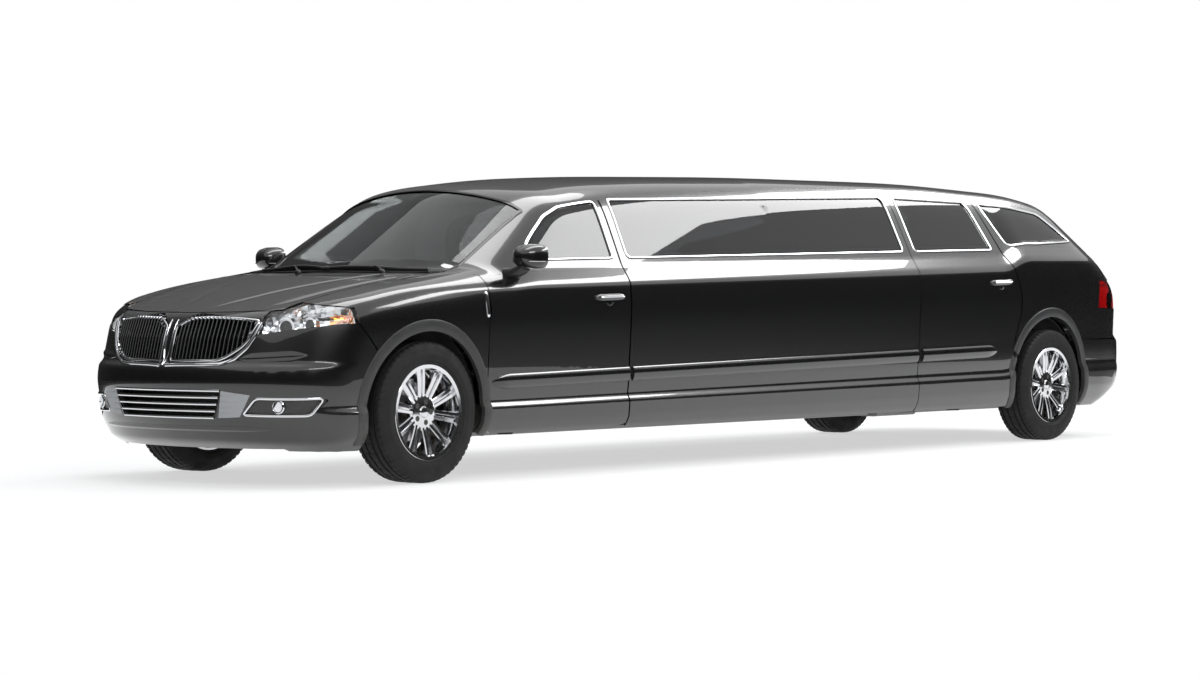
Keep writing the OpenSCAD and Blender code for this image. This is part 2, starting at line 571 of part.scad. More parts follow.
// Hood, with a rear edge that follows the screen's foot and a front edge that follows the nose
cowl_w = 95;
hood_rear_y = 0.775 * half_w;
hood_front_y = 0.62 * half_w;
hood_front_share = 0.80;
hinge_pin_y = 0.70 * half_w;
// The rear edge of the hood follows the screen's foot and runs straight across past its hinges
function hood_edge_x(y) = screen_foot_x(min(abs(y), hinge_pin_y)) + cowl_w;
edge_ys = concat([-hood_rear_y], spread(-hinge_pin_y, hinge_pin_y, 14), [hood_rear_y]);
function hood_tail(d) = [for (i = [len(edge_ys) - 1 : -1 : 0]) let (y = edge_ys[i])
    [hood_edge_x(y) - d, y * (1 + d / hood_rear_y)]];
function hood_head(d) = [for (y = spread(-hood_front_y, hood_front_y, 12))
    [nose_x(y, hood_front_share * belt_height) - 0.06 * front_overhang + d, y * (1 + d / hood_front_y)]];
module hood_zone(d) plan_prism(concat(hood_tail(d), hood_head(d)));
hood_xs = concat(spread(front_x(-0.52), front_x(0.70), 8), spread(front_x(0.76), front_x(0.92), 3));
hood_ys = spread(-0.81 * half_w, 0.81 * half_w, 10);
// Hood hinges: a pin across a notch in the rear edge, behind it a tongue of the cowl
notch_in_y = 0.715 * half_w;
notch_out_y = 0.745 * half_w;
hood_pin_x = hood_edge_x(hinge_pin_y) + 1.2 * barrel_r;
hood_pin_z = belt_height / 2 + hit([hood_pin_x, notch_out_y, belt_height / 2], [0, 0, 1]) - 1.2 * barrel_r;
module hood() color(paint) {
    difference() {
        intersection() {
            skin_layer(top_rays(hood_xs, hood_ys), lid_t);
            hood_zone(0);
        }
        both_sides() box(hood_pin_x - overrun, hood_pin_x + barrel_r + shut_gap, notch_in_y, notch_out_y,
            0, sky);
    }
    both_sides() translate([hood_pin_x, (notch_in_y + notch_out_y) / 2, hood_pin_z])
        hinge_barrel(notch_out_y - notch_in_y + 2 * barrel_r);
}
// Cowl between hood and screen
cowl_gap = 1.5 * shut_gap;
cowl_ys = concat([-hood_rear_y], foot_ys, [hood_rear_y]);
module cowl_zone(d) plan_prism(concat(
    [for (y = edge_ys) [hood_edge_x(y) - cowl_gap + d, y * (1 + d / hood_rear_y)]],
    [for (i = [len(cowl_ys) - 1 : -1 : 0]) let (y = cowl_ys[i])
        [screen_foot_x(y) - screen_lap - d, y * (1 + d / hood_rear_y)]]));
// The fenders stay outside a line from the hood's rear corners back past the pillars
cowl_side_y = 0.80 * half_w;
cowl_corner_x = hood_edge_x(hood_rear_y);
module cowl_side_zone(d) plan_prism([[front_x(-0.7), -cowl_side_y - d], [cowl_corner_x, -hood_rear_y - d],
    [hood_edge_x(0), -hood_rear_y], [hood_edge_x(0), hood_rear_y], [cowl_corner_x, hood_rear_y + d],
    [front_x(-0.7), cowl_side_y + d]]);
module cowl() color(trim) {
    intersection() {
        skin_layer(foot_rays(spread(3 * screen_lap, -1.6 * cowl_w, 6), cowl_ray_ys), lid_t, glass_sink);
        cowl_zone(0);
    }
    both_sides() box(hood_pin_x - 4 * barrel_r, hood_pin_x - barrel_r - seat_play, notch_in_y + shut_gap,
        notch_out_y - shut_gap,
        hood_pin_z - barrel_r, hood_pin_z + 0.4 * barrel_r);
}
cowl_ray_ys = spread(-0.81 * half_w, 0.81 * half_w, 8);

// Fenders: rays fan out round the wheelhouse
fender_eye_y = 0.46 * half_w;
fender_eye_z = 0.60 * belt_height;
fender_angles = [-44, -41, -36, -32, -29, -20, -5, 10, 22, 30, 36, 41, 46, 54, 70];
fender_xs = spread(hinge_x, front_x(0.62), 8);
bumper_zone_shares = [[0.20, 0.05], [1.30, 0.05], [1.30, 1.10], [0.66, 1.10], [0.66, 0.785], [0.50, 0.77],
    [0.20, 0.46]];
module bumper_zone(gap) for (s = [0, 1]) mirror([0, s, 0])
    left_prism([for (c = grown([for (r = bumper_zone_shares) [front_x(r[0]), r[1] * belt_height, 0]], gap))
        flat(c)]);
module fender() color(paint) {
    fender_shell();
    house_tab(front_axle_x);
}
module fender_shell() difference() {
    skin_layer([for (x = fender_xs) [for (a = fender_angles) [[x, fender_eye_y, fender_eye_z],
        [0, cos(a), sin(a)]]]], cover_t);
    bumper_zone(shut_gap);
    arch_cut(front_axle_x, arch_r);
    hood_zone(shut_gap);
    lamp_zone(0);
    cowl_side_zone(shut_gap);
    roof_zone(shut_gap);
    translate([hinge_x - overrun, 0, -overrun]) cube([2 * arch_r, body_width, door_bottom_z + overrun]);
}

// Front bumper cover, with openings for grille wings, lamps, intake and fog lamps
nose_angles = concat(spread(-80, -8, 12), [-3, 0, 3], spread(8, 80, 12));
bumper_shares = [0.175, 0.205, 0.240, 0.290, 0.400, 0.460, 0.510, 0.543, 0.572, 0.680, 0.780, 0.850];
// Corners of a grille wing: share of the half width, share of the belt height, setback share of the half width
wing_shares = [[0.040, 0.570, 0.008], [0.38, 0.575, 0.062], [0.51, 0.650, 0.052], [0.56, 0.765, 0.020],
    [0.13, 0.790, 0.042],
    [0.040, 0.735, 0.008]];
function wing_points(d) = rounded(grown([for (c = wing_shares) [c[0] * half_w, c[1] * belt_height,
    c[2] * half_w]], d));
module wing_zone(d) both_sides() long_prism(wing_points(d), front_x(0.3), front_x(1.2));
lamp_low_shares = [[0.56, 0.694], [0.90, 0.744], [1.10, 0.752]];
lamp_high_shares = [[1.10, 0.816], [0.90, 0.818], [0.56, 0.850]];
module lamp_zone(d) both_sides() long_prism([for (c = grown([for (r = concat(lamp_low_shares,
    lamp_high_shares))
    [r[0] * half_w, r[1] * belt_height, 0]], d)) flat(c)], front_x(0.47) - d, front_x(1.2));
intake_shares = [[-0.36, 0.315], [0.36, 0.315], [0.42, 0.445], [-0.42, 0.445]];
fog_shares = [[0.520, 0.332], [0.829, 0.330], [0.890, 0.408], [0.596, 0.408]];
intake_round = 22;
module intake_zone(d) long_prism(rounded(grown([for (r = intake_shares) [r[0] * half_w, r[1] * belt_height,
    intake_round]], d)),
    front_x(0.3), front_x(1.2));
module fog_zone(d) both_sides() long_prism(rounded(grown([for (r = fog_shares) [r[0] * half_w,
    r[1] * belt_height, intake_round]], d)),
    front_x(0.3), front_x(1.2));
module front_bumper() color(paint) difference() {
    intersection() {
        skin_layer(nose_rays(nose_angles, [for (s = bumper_shares) s * belt_height]), cover_t);
        bumper_zone(0);
    }
    arch_cut(front_axle_x, arch_r);
    hood_zone(shut_gap);
    wing_zone(0);
    lamp_zone(0);
    intake_zone(0);
    fog_zone(0);
}
module front_lamp() color(clear) difference() {
    intersection() {
        skin_layer(nose_rays(spread(26, 80, 10), [for (s = spread(0.67, 0.85, 4)) s * belt_height]),
            cover_t, glass_sink);
        lamp_zone(-seat_play);
    }
    hood_zone(shut_gap);
}

// Grille wings: a frame round slanted upright bars
wing_bars = 20;
bar_t = 7;
bar_depth = 26;
wing_frame = 11;
module wing_bar(y) rotate([90, 0, 0]) linear_extrude(bar_t, center = true) polygon(concat(
    [for (s = [0.560, 0.572, 0.680, 0.810]) [nose_x(y, s * belt_height) - glass_sink, s * belt_height]],
    [for (s = [0.810, 0.680, 0.572, 0.560]) [nose_x(y, s * belt_height) - glass_sink - bar_depth,
        s * belt_height]]));
module grille_wing() color(chrome) difference() {
    wing_frame_and_bars();
    hood_zone(shut_gap);
}
module wing_frame_and_bars() intersection() {
    union() {
        difference() {
            skin_layer(nose_rays(spread(0, 44, 8), [for (s = [0.55, 0.572, 0.68, 0.82]) s * belt_height]),
                bar_depth, glass_sink);
            long_prism(wing_points(-wing_frame), front_x(0.3), front_x(1.2));
        }
        for (i = [1 : wing_bars - 1]) let (y = half_w * (0.040 + 0.52 * i / wing_bars))
            translate([0, y, 0]) wing_bar(y);
    }
    long_prism(wing_points(-seat_play), front_x(0.3), front_x(1.2));
}
intake_bars = 4;
intake_angles = spread(-34, 34, 6);
module lower_grille() color(trim) {
    intersection() {
        union() {
            difference() {
                skin_layer(nose_rays(intake_angles, [for (v = spread(0.29, 0.47, 3)) v * belt_height]),
                    bar_depth, glass_sink);
                intake_zone(-wing_frame);
            }
            for (i = [0 : intake_bars]) let (z = belt_height * (0.315 + 0.130 * i / intake_bars))
                skin_layer(nose_rays(intake_angles, [z - bar_t, z + bar_t]), bar_depth, glass_sink);
        }
        intake_zone(-seat_play);
    }
    intersection() {
        union() for (k = [0, 1]) mirror([0, k, 0])
            skin_layer(nose_rays(spread(26, 66, 6), [for (v = spread(0.31, 0.43, 2)) v * belt_height]),
                bar_depth, 2 * glass_sink);
        fog_zone(-seat_play);
    }
}

// Half height of the knuckle boss, with the arms above and below it
boss_half = 105;
arm_t = 26;
arm_play = 7;

// Underbody: floor, sills, wheelhouses and firewall
rail_z = wheel_z + boss_half + arm_play + arm_t + seat_play;
floor_z = 245;
floor_t = 50;
sill_in_y = 0.725 * half_w;
sill_w = 140;
sill_h = 150;
floor_front_x = front_x(-0.47);
house_r = rear_arch_r;
house_t = 12;
house_inset = 350;
house_in_y = track / 2 - house_inset;
house_out_y = 0.87 * half_w;
// Opening in the wheelhouse's inner wall for arms and axle
house_notch = 190;
axle_bay_x = rear_x(-0.48);
firewall_t = 40;
// Jack pads under the sills
jack_r = 42;
jack_h = 20;
jack_y = sill_in_y + 0.6 * sill_w;
module box(x0, x1, y0, y1, z0, z1) translate([x0, y0, z0]) cube([x1 - x0, y1 - y0, z1 - z0]);
module wheelhouse(x) translate([x, house_in_y, wheel_z]) rotate([-90, 0, 0]) difference() {
    cylinder(r = house_r + house_t, h = house_out_y - house_in_y, $fn = 64);
    translate([0, 0, house_t]) cylinder(r = house_r, h = house_out_y, $fn = 64);
    translate([-2 * house_r, wheel_z - floor_z - floor_t / 2, -overrun])
        cube([4 * house_r, 2 * house_r, house_out_y + 2 * overrun]);
    translate([-house_notch, -house_notch, -overrun]) cube([2 * house_notch, 2 * house_notch, 2 * overrun]);
}
module underbody() color(trim) {
    difference() {
        union() {
            box(rear_x(0.50), floor_front_x, -sill_in_y, sill_in_y, floor_z, floor_z + floor_t);
            box(tail_panel_x, rear_x(0.50), -0.60 * half_w, 0.60 * half_w, floor_z, floor_z + floor_t);
            box(tail_panel_x, tail_panel_x + tail_panel_t, -0.45 * half_w, 0.45 * half_w, floor_z,
                tail_panel_top_z);
            both_sides() box(rear_x(-0.40), floor_front_x, sill_in_y - floor_t, sill_in_y + sill_w,
                floor_z, floor_z + sill_h);
            both_sides() box(floor_front_x, front_x(0.60), 0.36 * half_w, house_in_y + house_t, rail_z,
                rail_z + floor_t);
            box(floor_front_x, floor_front_x + firewall_t, -sill_in_y, sill_in_y, floor_z,
                0.86 * belt_height);
        }
        both_sides() for (x = [front_axle_x, rear_axle_x])
            translate([x, house_in_y + house_t / 2, wheel_z]) rotate([-90, 0, 0])
            cylinder(r = house_r + house_t / 2, h = half_w, $fn = 64);
        box(rear_x(0.45), axle_bay_x, -house_in_y, house_in_y, floor_z - overrun,
            floor_z + floor_t + overrun);
    }
    both_sides() for (x = [front_axle_x, rear_axle_x]) wheelhouse(x);
    both_sides() for (x = [front_x(-0.75), rear_x(-0.75)]) translate([x, jack_y, floor_z - jack_h])
        cylinder(r = jack_r, h = jack_h + floor_t / 2, $fn = 48);
}

// Wheel about its own z axis, outer face up
hub_r = 84;
flange_h = 12;
rim_half = 0.46 * tyre_w;
rim_t = 9;
disc_r = 165;
disc_t = 22;
disc_z = -55;
hat_r = 78;
face_z = 62;
lug_r = 10;
lug_circle = 57;
cap_r = 38;
fit_play = 0.05;
module rim_barrel() rotate_extrude($fn = 96) polygon([[rim_d / 2 + flange_h, rim_half],
    [rim_d / 2, rim_half - rim_t],
    [rim_d / 2, 0.26 * tyre_w], [rim_d / 2 - rim_t, 0.20 * tyre_w], [rim_d / 2 - rim_t, -0.20 * tyre_w],
    [rim_d / 2, -0.26 * tyre_w], [rim_d / 2, -rim_half + rim_t], [rim_d / 2 + flange_h, -rim_half],
    [rim_d / 2 - rim_t, -rim_half], [rim_d / 2 - 2 * rim_t, -0.30 * tyre_w],
        [rim_d / 2 - 2 * rim_t, 0.30 * tyre_w],
    [rim_d / 2 - rim_t, rim_half]]);
spoke_w = 36;
spoke_tip_w = 46;
spoke_t = 28;
face_r = rim_d / 2 - 1.5 * rim_t;
window_in_r = 1.18 * hub_r;
window_out_r = rim_d / 2 - 3.2 * rim_t;
window_round_share = 0.12;
// One of the openings between two spokes, centred on the x axis
module wheel_window() {
    half = 180 / spokes;
    in_half = window_in_r * tan(half) - spoke_w / 2;
    out_half = window_out_r * tan(half) - spoke_tip_w / 2;
    r = window_round_share * window_out_r;
    polygon(rounded([[window_in_r, -in_half, in_half / 2], [window_out_r, -out_half, r],
        [window_out_r, out_half, r], [window_in_r, in_half, in_half / 2]]));
}
module wheel_face() translate([0, 0, face_z - spoke_t]) linear_extrude(spoke_t) difference() {
    circle(r = face_r, $fn = 96);
    for (i = [0 : spokes - 1]) rotate((i + 0.5) * 360 / spokes) wheel_window();
}
module wheel() color(chrome) difference() {
    union() {
        rim_barrel();
        wheel_face();
        translate([0, 0, disc_z]) cylinder(r = disc_r, h = disc_t, $fn = 64);
        translate([0, 0, disc_z]) cylinder(r = hat_r, h = face_z - disc_z - spoke_t / 2, $fn = 48);
        translate([0, 0, face_z - rim_t]) cylinder(r1 = cap_r, r2 = 0.85 * cap_r, h = 2 * rim_t, $fn = 48);
    }
    translate([0, 0, disc_z - overrun]) cylinder(r = spindle_r + fit_play,
        h = overrun + face_z - disc_z - rim_t, $fn = 48);
    for (i = [0 : 4]) rotate((i + 0.5) * 72) translate([lug_circle, 0, face_z - rim_t])
        cylinder(r = lug_r, h = overrun, $fn = 24);
}
bead_play = 0.3;
module tyre() color(rubber) rotate_extrude($fn = 96) polygon(concat(
    [[rim_d / 2 + bead_play, -rim_half + 2 * rim_t], [rim_d / 2 + 2 * flange_h, -rim_half + 1.4 * rim_t]],
    [[rim_d / 2 + 2.6 * flange_h, -0.485 * tyre_w], [0.42 * tyre_d, -0.5 * tyre_w],
        [0.47 * tyre_d, -0.475 * tyre_w],
    [0.492 * tyre_d, -0.42 * tyre_w], [0.5 * tyre_d, -0.33 * tyre_w], [0.5 * tyre_d, 0.33 * tyre_w],
    [0.492 * tyre_d, 0.42 * tyre_w], [0.47 * tyre_d, 0.475 * tyre_w], [0.42 * tyre_d, 0.5 * tyre_w],
    [rim_d / 2 + 2.6 * flange_h, 0.485 * tyre_w]],
    [[rim_d / 2 + 2 * flange_h, rim_half - 1.4 * rim_t], [rim_d / 2 + bead_play, rim_half - 2 * rim_t]]));
module at_wheel(x, side) translate([x, side * track / 2, wheel_z]) rotate([-side * 90, 0, 0]) children();

// Steering knuckle: a boss round the pivot, the spindle and the brake caliper
kingpin_offset = 93;
kingpin_y = track / 2 - kingpin_offset;
boss_r = 28;
caliper_in_r = disc_r + 7;
caliper_r = disc_r + 36;
caliper_z0 = disc_z - 22;
caliper_z1 = disc_z + disc_t + 20;
disc_play = 8;
module caliper() rotate(150) difference() {
    translate([0, 0, caliper_z0]) linear_extrude(caliper_z1 - caliper_z0) intersection() {
        circle(r = caliper_r, $fn = 64);
        polygon([[0.6 * disc_r, -0.5 * disc_r], [2 * disc_r, -0.5 * disc_r], [2 * disc_r, 0.5 * disc_r],
            [0.6 * disc_r, 0.5 * disc_r]]);
    }
    translate([0, 0, disc_z - disc_play]) cylinder(r = caliper_in_r, h = disc_t + 2 * disc_play, $fn = 64);
    translate([0, 0, disc_z]) cylinder(r = hat_r + 2 * disc_play, h = 2 * overrun, $fn = 48);
}
module spindle() translate([0, 0, kingpin_y - track / 2])
    cylinder(r = spindle_r, h = track / 2 - kingpin_y + face_z - 2 * rim_t, $fn = 48);
module knuckle() color(steel) difference() {
    union() {
        at_wheel(front_axle_x, 1) {
            spindle();
            caliper();
            translate([-0.75 * disc_r, -spindle_r, caliper_z0])
                cube([0.75 * disc_r, 2 * spindle_r, disc_play]);
        }
        translate([front_axle_x, kingpin_y, wheel_z - boss_half])
            cylinder(r = boss_r, h = 2 * boss_half, $fn = 48);
    }
    translate([front_axle_x, kingpin_y, wheel_z - 2 * boss_half])
        cylinder(r = kingpin_r + fit_play, h = 4 * boss_half, $fn = 48);
}
arm_root_y = 0.44 * half_w;
arm_root_half = 150;
// The arms end in a round eye on the kingpin
arm_eye_r = 30;
module arm(z) translate([front_axle_x, 0, z]) {
    linear_extrude(arm_t) polygon([[-arm_root_half, arm_root_y], [-0.9 * arm_eye_r, kingpin_y],
        [0.9 * arm_eye_r, kingpin_y], [arm_root_half, arm_root_y]]);
    translate([0, kingpin_y, 0]) cylinder(r = arm_eye_r, h = arm_t, $fn = 48);
}
lower_arm_z = wheel_z - boss_half - arm_play - arm_t;
upper_arm_z = wheel_z + boss_half + arm_play;
module front_subframe() color(steel) {
    both_sides() {
        arm(lower_arm_z);
        arm(upper_arm_z);
        translate([front_axle_x, kingpin_y, lower_arm_z])
            cylinder(r = kingpin_r, h = upper_arm_z + arm_t - lower_arm_z, $fn = 48);
        box(front_axle_x - arm_root_half, front_axle_x + arm_root_half, arm_root_y - 2 * arm_t,
            arm_root_y + arm_t, lower_arm_z, upper_arm_z + arm_t);
    }
    box(front_axle_x - arm_root_half, front_axle_x + arm_root_half, -arm_root_y, arm_root_y,
        lower_arm_z - arm_t, lower_arm_z + arm_t);
}
axle_r = 46;
module rear_axle() color(steel) {
    translate([rear_axle_x, 0, wheel_z]) rotate([90, 0, 0])
        cylinder(r = axle_r, h = 2 * kingpin_y, center = true, $fn = 48);
    translate([rear_axle_x, 0, wheel_z]) sphere(r = 3 * axle_r, $fn = 32);
    for (s = [-1, 1]) at_wheel(rear_axle_x, s) {
        spindle();
        caliper();
        translate([-0.75 * disc_r, -spindle_r, caliper_z0]) cube([0.75 * disc_r, 2 * spindle_r, disc_play]);
    }
    both_sides() box(rear_axle_x, axle_bay_x - seat_play, 0.38 * half_w, 0.44 * half_w, floor_z,
        floor_z + 2 * floor_t);
}

// Engine, radiator and exhaust
module engine() color(steel) box(front_x(-0.36), front_x(0.45), -0.33 * half_w, 0.33 * half_w,
    lower_arm_z + arm_t + seat_play, 0.76 * belt_height);
module radiator() color(trim) box(front_x(0.60) + seat_play, front_x(0.67), -0.44 * half_w, 0.44 * half_w,
    0.26 * belt_height, 0.73 * belt_height);
pipe_r = 28;
pipe_y = 0.30 * half_w;
pipe_z = floor_z - pipe_r - seat_play;
pipe_end_x = rear_x(0.66);
muffler_half = 0.08 * half_w;
muffler_top_z = floor_z - seat_play;
muffler_low_z = pipe_z - 1.3 * pipe_r;
module pipe_along(r, x0, x1) translate([x0, pipe_y, pipe_z]) rotate([0, 90, 0])
    cylinder(r = r, h = x1 - x0, $fn = 32);
module exhaust() color(steel) both_sides() difference() {
    union() {
        pipe_along(pipe_r, pipe_end_x, front_x(-0.60));
        long_prism(rounded([[pipe_y - muffler_half, muffler_low_z, pipe_r],
            [pipe_y + muffler_half, muffler_low_z, pipe_r],
            [pipe_y + muffler_half, muffler_top_z, pipe_r],
                [pipe_y - muffler_half, muffler_top_z, pipe_r]]), rear_x(-0.60), rear_x(-0.95));
    }
    pipe_along(0.84 * pipe_r, pipe_end_x - overrun, pipe_end_x + 4 * pipe_r);
}

// Cabin: a seat is a rounded side profile of cushion and back, carried across its width, with a head rest
cabin_floor_z = floor_z + floor_t;
seat_w = 0.53 * half_w;
seat_h = 640;
seat_depth = 560;
seat_round = 46;
// Profile rows: share of the depth from the front edge, share of the height
seat_shares = [[0.06, 0], [0.92, 0], [1.22, 1.00], [1.00, 1.00], [0.74, 0.46], [0, 0.46], [0, 0.30]];
head_shares = [[1.06, 0.98], [1.20, 0.98], [1.26, 1.26], [1.13, 1.26]];
module across(w) rotate([90, 0, 0]) linear_extrude(w, center = true) children();
module seat_profile(rows, r) polygon(rounded([for (c = rows) [-c[0] * seat_depth, c[1] * seat_h, r]]));
module seat(x, y, w, rests) translate([x, y, cabin_floor_z]) {
    across(w) seat_profile(flipped_rows(seat_shares), seat_round);
    for (v = rests) translate([0, v, 0]) across(0.52 * seat_w)
        seat_profile(flipped_rows(head_shares), seat_round / 2);
}
function flipped_rows(rows) = [for (i = [len(rows) - 1 : -1 : 0]) rows[i]];
module front_seats() color(leather) both_sides() seat(front_x(-1.06), 0.39 * half_w, seat_w, [0]);
bench_w = 1.25 * half_w;
// The long side bench stands along the left wall: rows of [y share of the half width, height share]
side_bench_shares = [[0.19, 0], [0.67, 0], [0.67, 0.60], [0.81, 1.00], [0.70, 1.00], [0.60, 0.46],
    [0.17, 0.46], [0.17, 0.30]];
side_bench_x0 = rear_x(-1.55);
side_bench_x1 = front_x(-1.95);
// The bar cabinet along the right wall has a toe space and a lipped counter
bar_shares = [[-0.67, 0], [-0.46, 0], [-0.46, 0.14], [-0.42, 0.14], [-0.42, 0.78], [-0.40, 0.78],
    [-0.40, 0.84], [-0.67, 0.84]];
module cabin_seats() color(leather) {
    seat(rear_x(-1.02), 0, bench_w, [-0.3 * bench_w, 0.3 * bench_w]);
    translate([0, 0, cabin_floor_z]) long_prism(rounded([for (c = side_bench_shares) [c[0] * half_w,
        c[1] * seat_h, seat_round / 2]]),
        side_bench_x0, side_bench_x1);
}
module bar_cabinet() color(trim) translate([0, 0, cabin_floor_z])
    long_prism([for (c = bar_shares) [c[0] * half_w, c[1] * seat_h]],
    rear_x(-1.90), front_x(-2.30));
// Partition behind the driver, with a rounded opening above the belt
partition_t = 38;
partition_x = b_seam_x - 4 * sash;
partition_half = sill_in_y - floor_t - seat_play;
partition_top_z = belt_height + 0.52 * roof_rise;
module partition() color(trim) translate([partition_x, 0, 0]) rotate([90, 0, 90])
    linear_extrude(partition_t) difference() {
    polygon(rounded([[-partition_half, cabin_floor_z, 0], [partition_half, cabin_floor_z, 0],
        [partition_half, partition_top_z, 3 * seat_round],
            [-partition_half, partition_top_z, 3 * seat_round]]));
    polygon(rounded([for (c = [[-1, 0.02], [1, 0.02], [1, 0.42], [-1, 0.42]])
        [0.82 * c[0] * partition_half, belt_height + c[1] * roof_rise, 2 * seat_round]]));
}
// Dashboard: a rounded profile across the car with a hood over the instruments
dash_shares = [[0, 0.62], [0, 0.86], [0.30, 0.90], [0.62, 0.86], [1.00, 0.80], [0.92, 0.70], [0.55, 0.60]];
dash_depth = 0.31 * front_overhang;
dash_round = 24;
module dash_profile(rows) polygon(rounded([for (c = rows) [-c[0] * dash_depth, c[1] * belt_height,
    c[0] == 0 ? 0 : dash_round]]));
module dashboard() color(trim) translate([floor_front_x - seat_play, 0, 0]) {
    across(2 * sill_in_y) dash_profile(dash_shares);
    translate([0, 0.39 * half_w, 0]) across(0.40 * half_w)
        dash_profile([[0.25, 0.80], [0.25, 0.92], [0.80, 0.92], [0.96, 0.86], [0.90, 0.76]]);
}
ring_r = 185;
ring_tube_r = 15;
column_r = 40;
column_length = 135.4;
column_tilt = -68;
module steering_wheel() color(trim) translate([front_x(-0.90), 0.39 * half_w, 0.84 * belt_height])
    rotate([0, column_tilt, 0]) {
    rotate_extrude($fn = 48) translate([ring_r, 0]) circle(r = ring_tube_r, $fn = 24);
    for (i = [0 : 2]) rotate(90 + i * 120) translate([0, -ring_tube_r, -0.6 * ring_tube_r])
        cube([ring_r, 2 * ring_tube_r, 1.2 * ring_tube_r]);
    translate([0, 0, -column_length]) cylinder(r = column_r, h = column_length, $fn = 32);
}
module stretch_glass() color(tint) side_pane(rear_hinge_x, b_seam_x, 3, stretch_window);

underbody();
front_bumper();
rear_bumper();
both_sides() grille_wing();  // grille
lower_grille();
both_sides() front_lamp();  // front_lamps
both_sides() tail_lamp();  // tail_lamps
both_sides() fender();  // fenders
both_sides() stretch_panel();  // stretch_panels
both_sides() quarter();  // quarters
roof();
windshield();
both_sides() {  // side_glass
    stretch_glass();
    quarter_glass();
}
cowl();
front_seats();
cabin_seats();
bar_cabinet();
dashboard();
steering_wheel();
partition();
engine();
radiator();
exhaust();
front_subframe();
rear_axle();
front_door();  // front_door_left
mirror([0, 1, 0]) front_door();  // front_door_right
front_glass();  // front_glass_left
mirror([0, 1, 0]) front_glass();  // front_glass_right
rear_door();  // rear_door_left
mirror([0, 1, 0]) rear_door();  // rear_door_right
rear_glass();  // rear_glass_left
mirror([0, 1, 0]) rear_glass();  // rear_glass_right
hood();
tailgate();
tailgate_glass();
at_wheel(front_axle_x, 1) wheel();  // wheel_fl
at_wheel(front_axle_x, -1) wheel();  // wheel_fr
at_wheel(rear_axle_x, 1) wheel();  // wheel_rl
at_wheel(rear_axle_x, -1) wheel();  // wheel_rr
at_wheel(front_axle_x, 1) tyre();  // tyre_fl
at_wheel(front_axle_x, -1) tyre();  // tyre_fr
at_wheel(rear_axle_x, 1) tyre();  // tyre_rl
at_wheel(rear_axle_x, -1) tyre();  // tyre_rr
knuckle();  // knuckle_left
mirror([0, 1, 0]) knuckle();  // knuckle_right
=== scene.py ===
# %% [markdown]
# # A stretched town wagon, dressed in Blender
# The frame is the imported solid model: every panel, wheel and seat is already in place, in metres,
# with +X forward, +Y left and the origin on the ground. This lesson puts a skin, finishes and small
# fittings on it. Nothing of the frame is moved: a piece that looks better is laid over its solid.

# %% Load the frame
import json
import math

import bmesh
import bpy
import numpy as np
from mathutils import Matrix, Vector


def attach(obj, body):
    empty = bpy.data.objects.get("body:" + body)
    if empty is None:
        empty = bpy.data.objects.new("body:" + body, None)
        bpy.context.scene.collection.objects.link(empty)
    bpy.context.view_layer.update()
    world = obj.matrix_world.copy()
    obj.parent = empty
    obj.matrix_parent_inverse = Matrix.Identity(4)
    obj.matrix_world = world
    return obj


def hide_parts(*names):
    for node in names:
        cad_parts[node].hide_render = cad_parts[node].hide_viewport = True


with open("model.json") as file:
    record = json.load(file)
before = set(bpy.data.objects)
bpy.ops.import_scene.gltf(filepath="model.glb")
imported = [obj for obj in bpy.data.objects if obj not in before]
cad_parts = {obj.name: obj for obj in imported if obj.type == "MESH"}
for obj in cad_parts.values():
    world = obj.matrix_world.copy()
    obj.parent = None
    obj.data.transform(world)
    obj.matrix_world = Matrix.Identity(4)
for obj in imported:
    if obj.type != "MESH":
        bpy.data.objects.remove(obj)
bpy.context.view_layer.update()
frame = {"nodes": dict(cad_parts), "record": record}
nodes = frame["nodes"]
body_of = {n: b for b, members in frame["record"]["behaviour"]["bodies"].items() for n in members}
pivots = {j["name"]: j["pos_m"] for j in frame["record"]["behaviour"]["joints"]}
scene = bpy.context.scene
scene.view_settings.view_transform = "Standard"

# %% [markdown]
# ## Camera
# The car was photographed from its front left corner with a long lens, from about a metre up.
# The place and the lens come from a fit of the wheels and the body corners, so the camera is
# simply set to those numbers: a long lens is what keeps the far end of the car from shrinking.

# %% Camera
def put(name, data):
    """A new object for the data, placed in the scene."""
    obj = bpy.data.objects.new(name, data)
    scene.collection.objects.link(obj)
    return obj


def aim_camera(place, yaw, pitch, lens):
    data = bpy.data.cameras.new("photo_camera")
    data.sensor_width, data.sensor_fit, data.lens = SENSOR, "HORIZONTAL", lens
    data.clip_end = 400.0
    camera = put("photo_camera", data)
    camera.location = place
    camera.rotation_euler = (math.radians(90 + pitch), 0, math.radians(yaw - 90))
    scene.camera = camera
    return camera


SENSOR, FOCAL_PIXELS, PHOTO_PIXELS = 36.0, 3104, 1200
camera = aim_camera((14.8655, 12.015, 1.012), -139.79, -0.90, SENSOR * FOCAL_PIXELS / PHOTO_PIXELS)
print("camera lens:", round(camera.data.lens, 1), "mm")

# %% [markdown]
# ## Studio
# Gloss black paint shows hardly any colour of its own: what is seen on it is the room. So the room is
# built like a photographer's: a pale floor, a white dome, large soft lamps overhead, and a dark screen
# all round that the camera can't see, low on the near side and high on the far side, which gives the
# flat sides something dark to mirror.

# %% World and floor
def node_tree(block):
    block.use_nodes = True
    block.node_tree.nodes.clear()
    return block.node_tree


def set_socket(tree, socket, value):
    """A value that is a socket itself is linked."""
    if isinstance(value, bpy.types.NodeSocket):
        tree.links.new(value, socket)
    else:
        socket.default_value = value


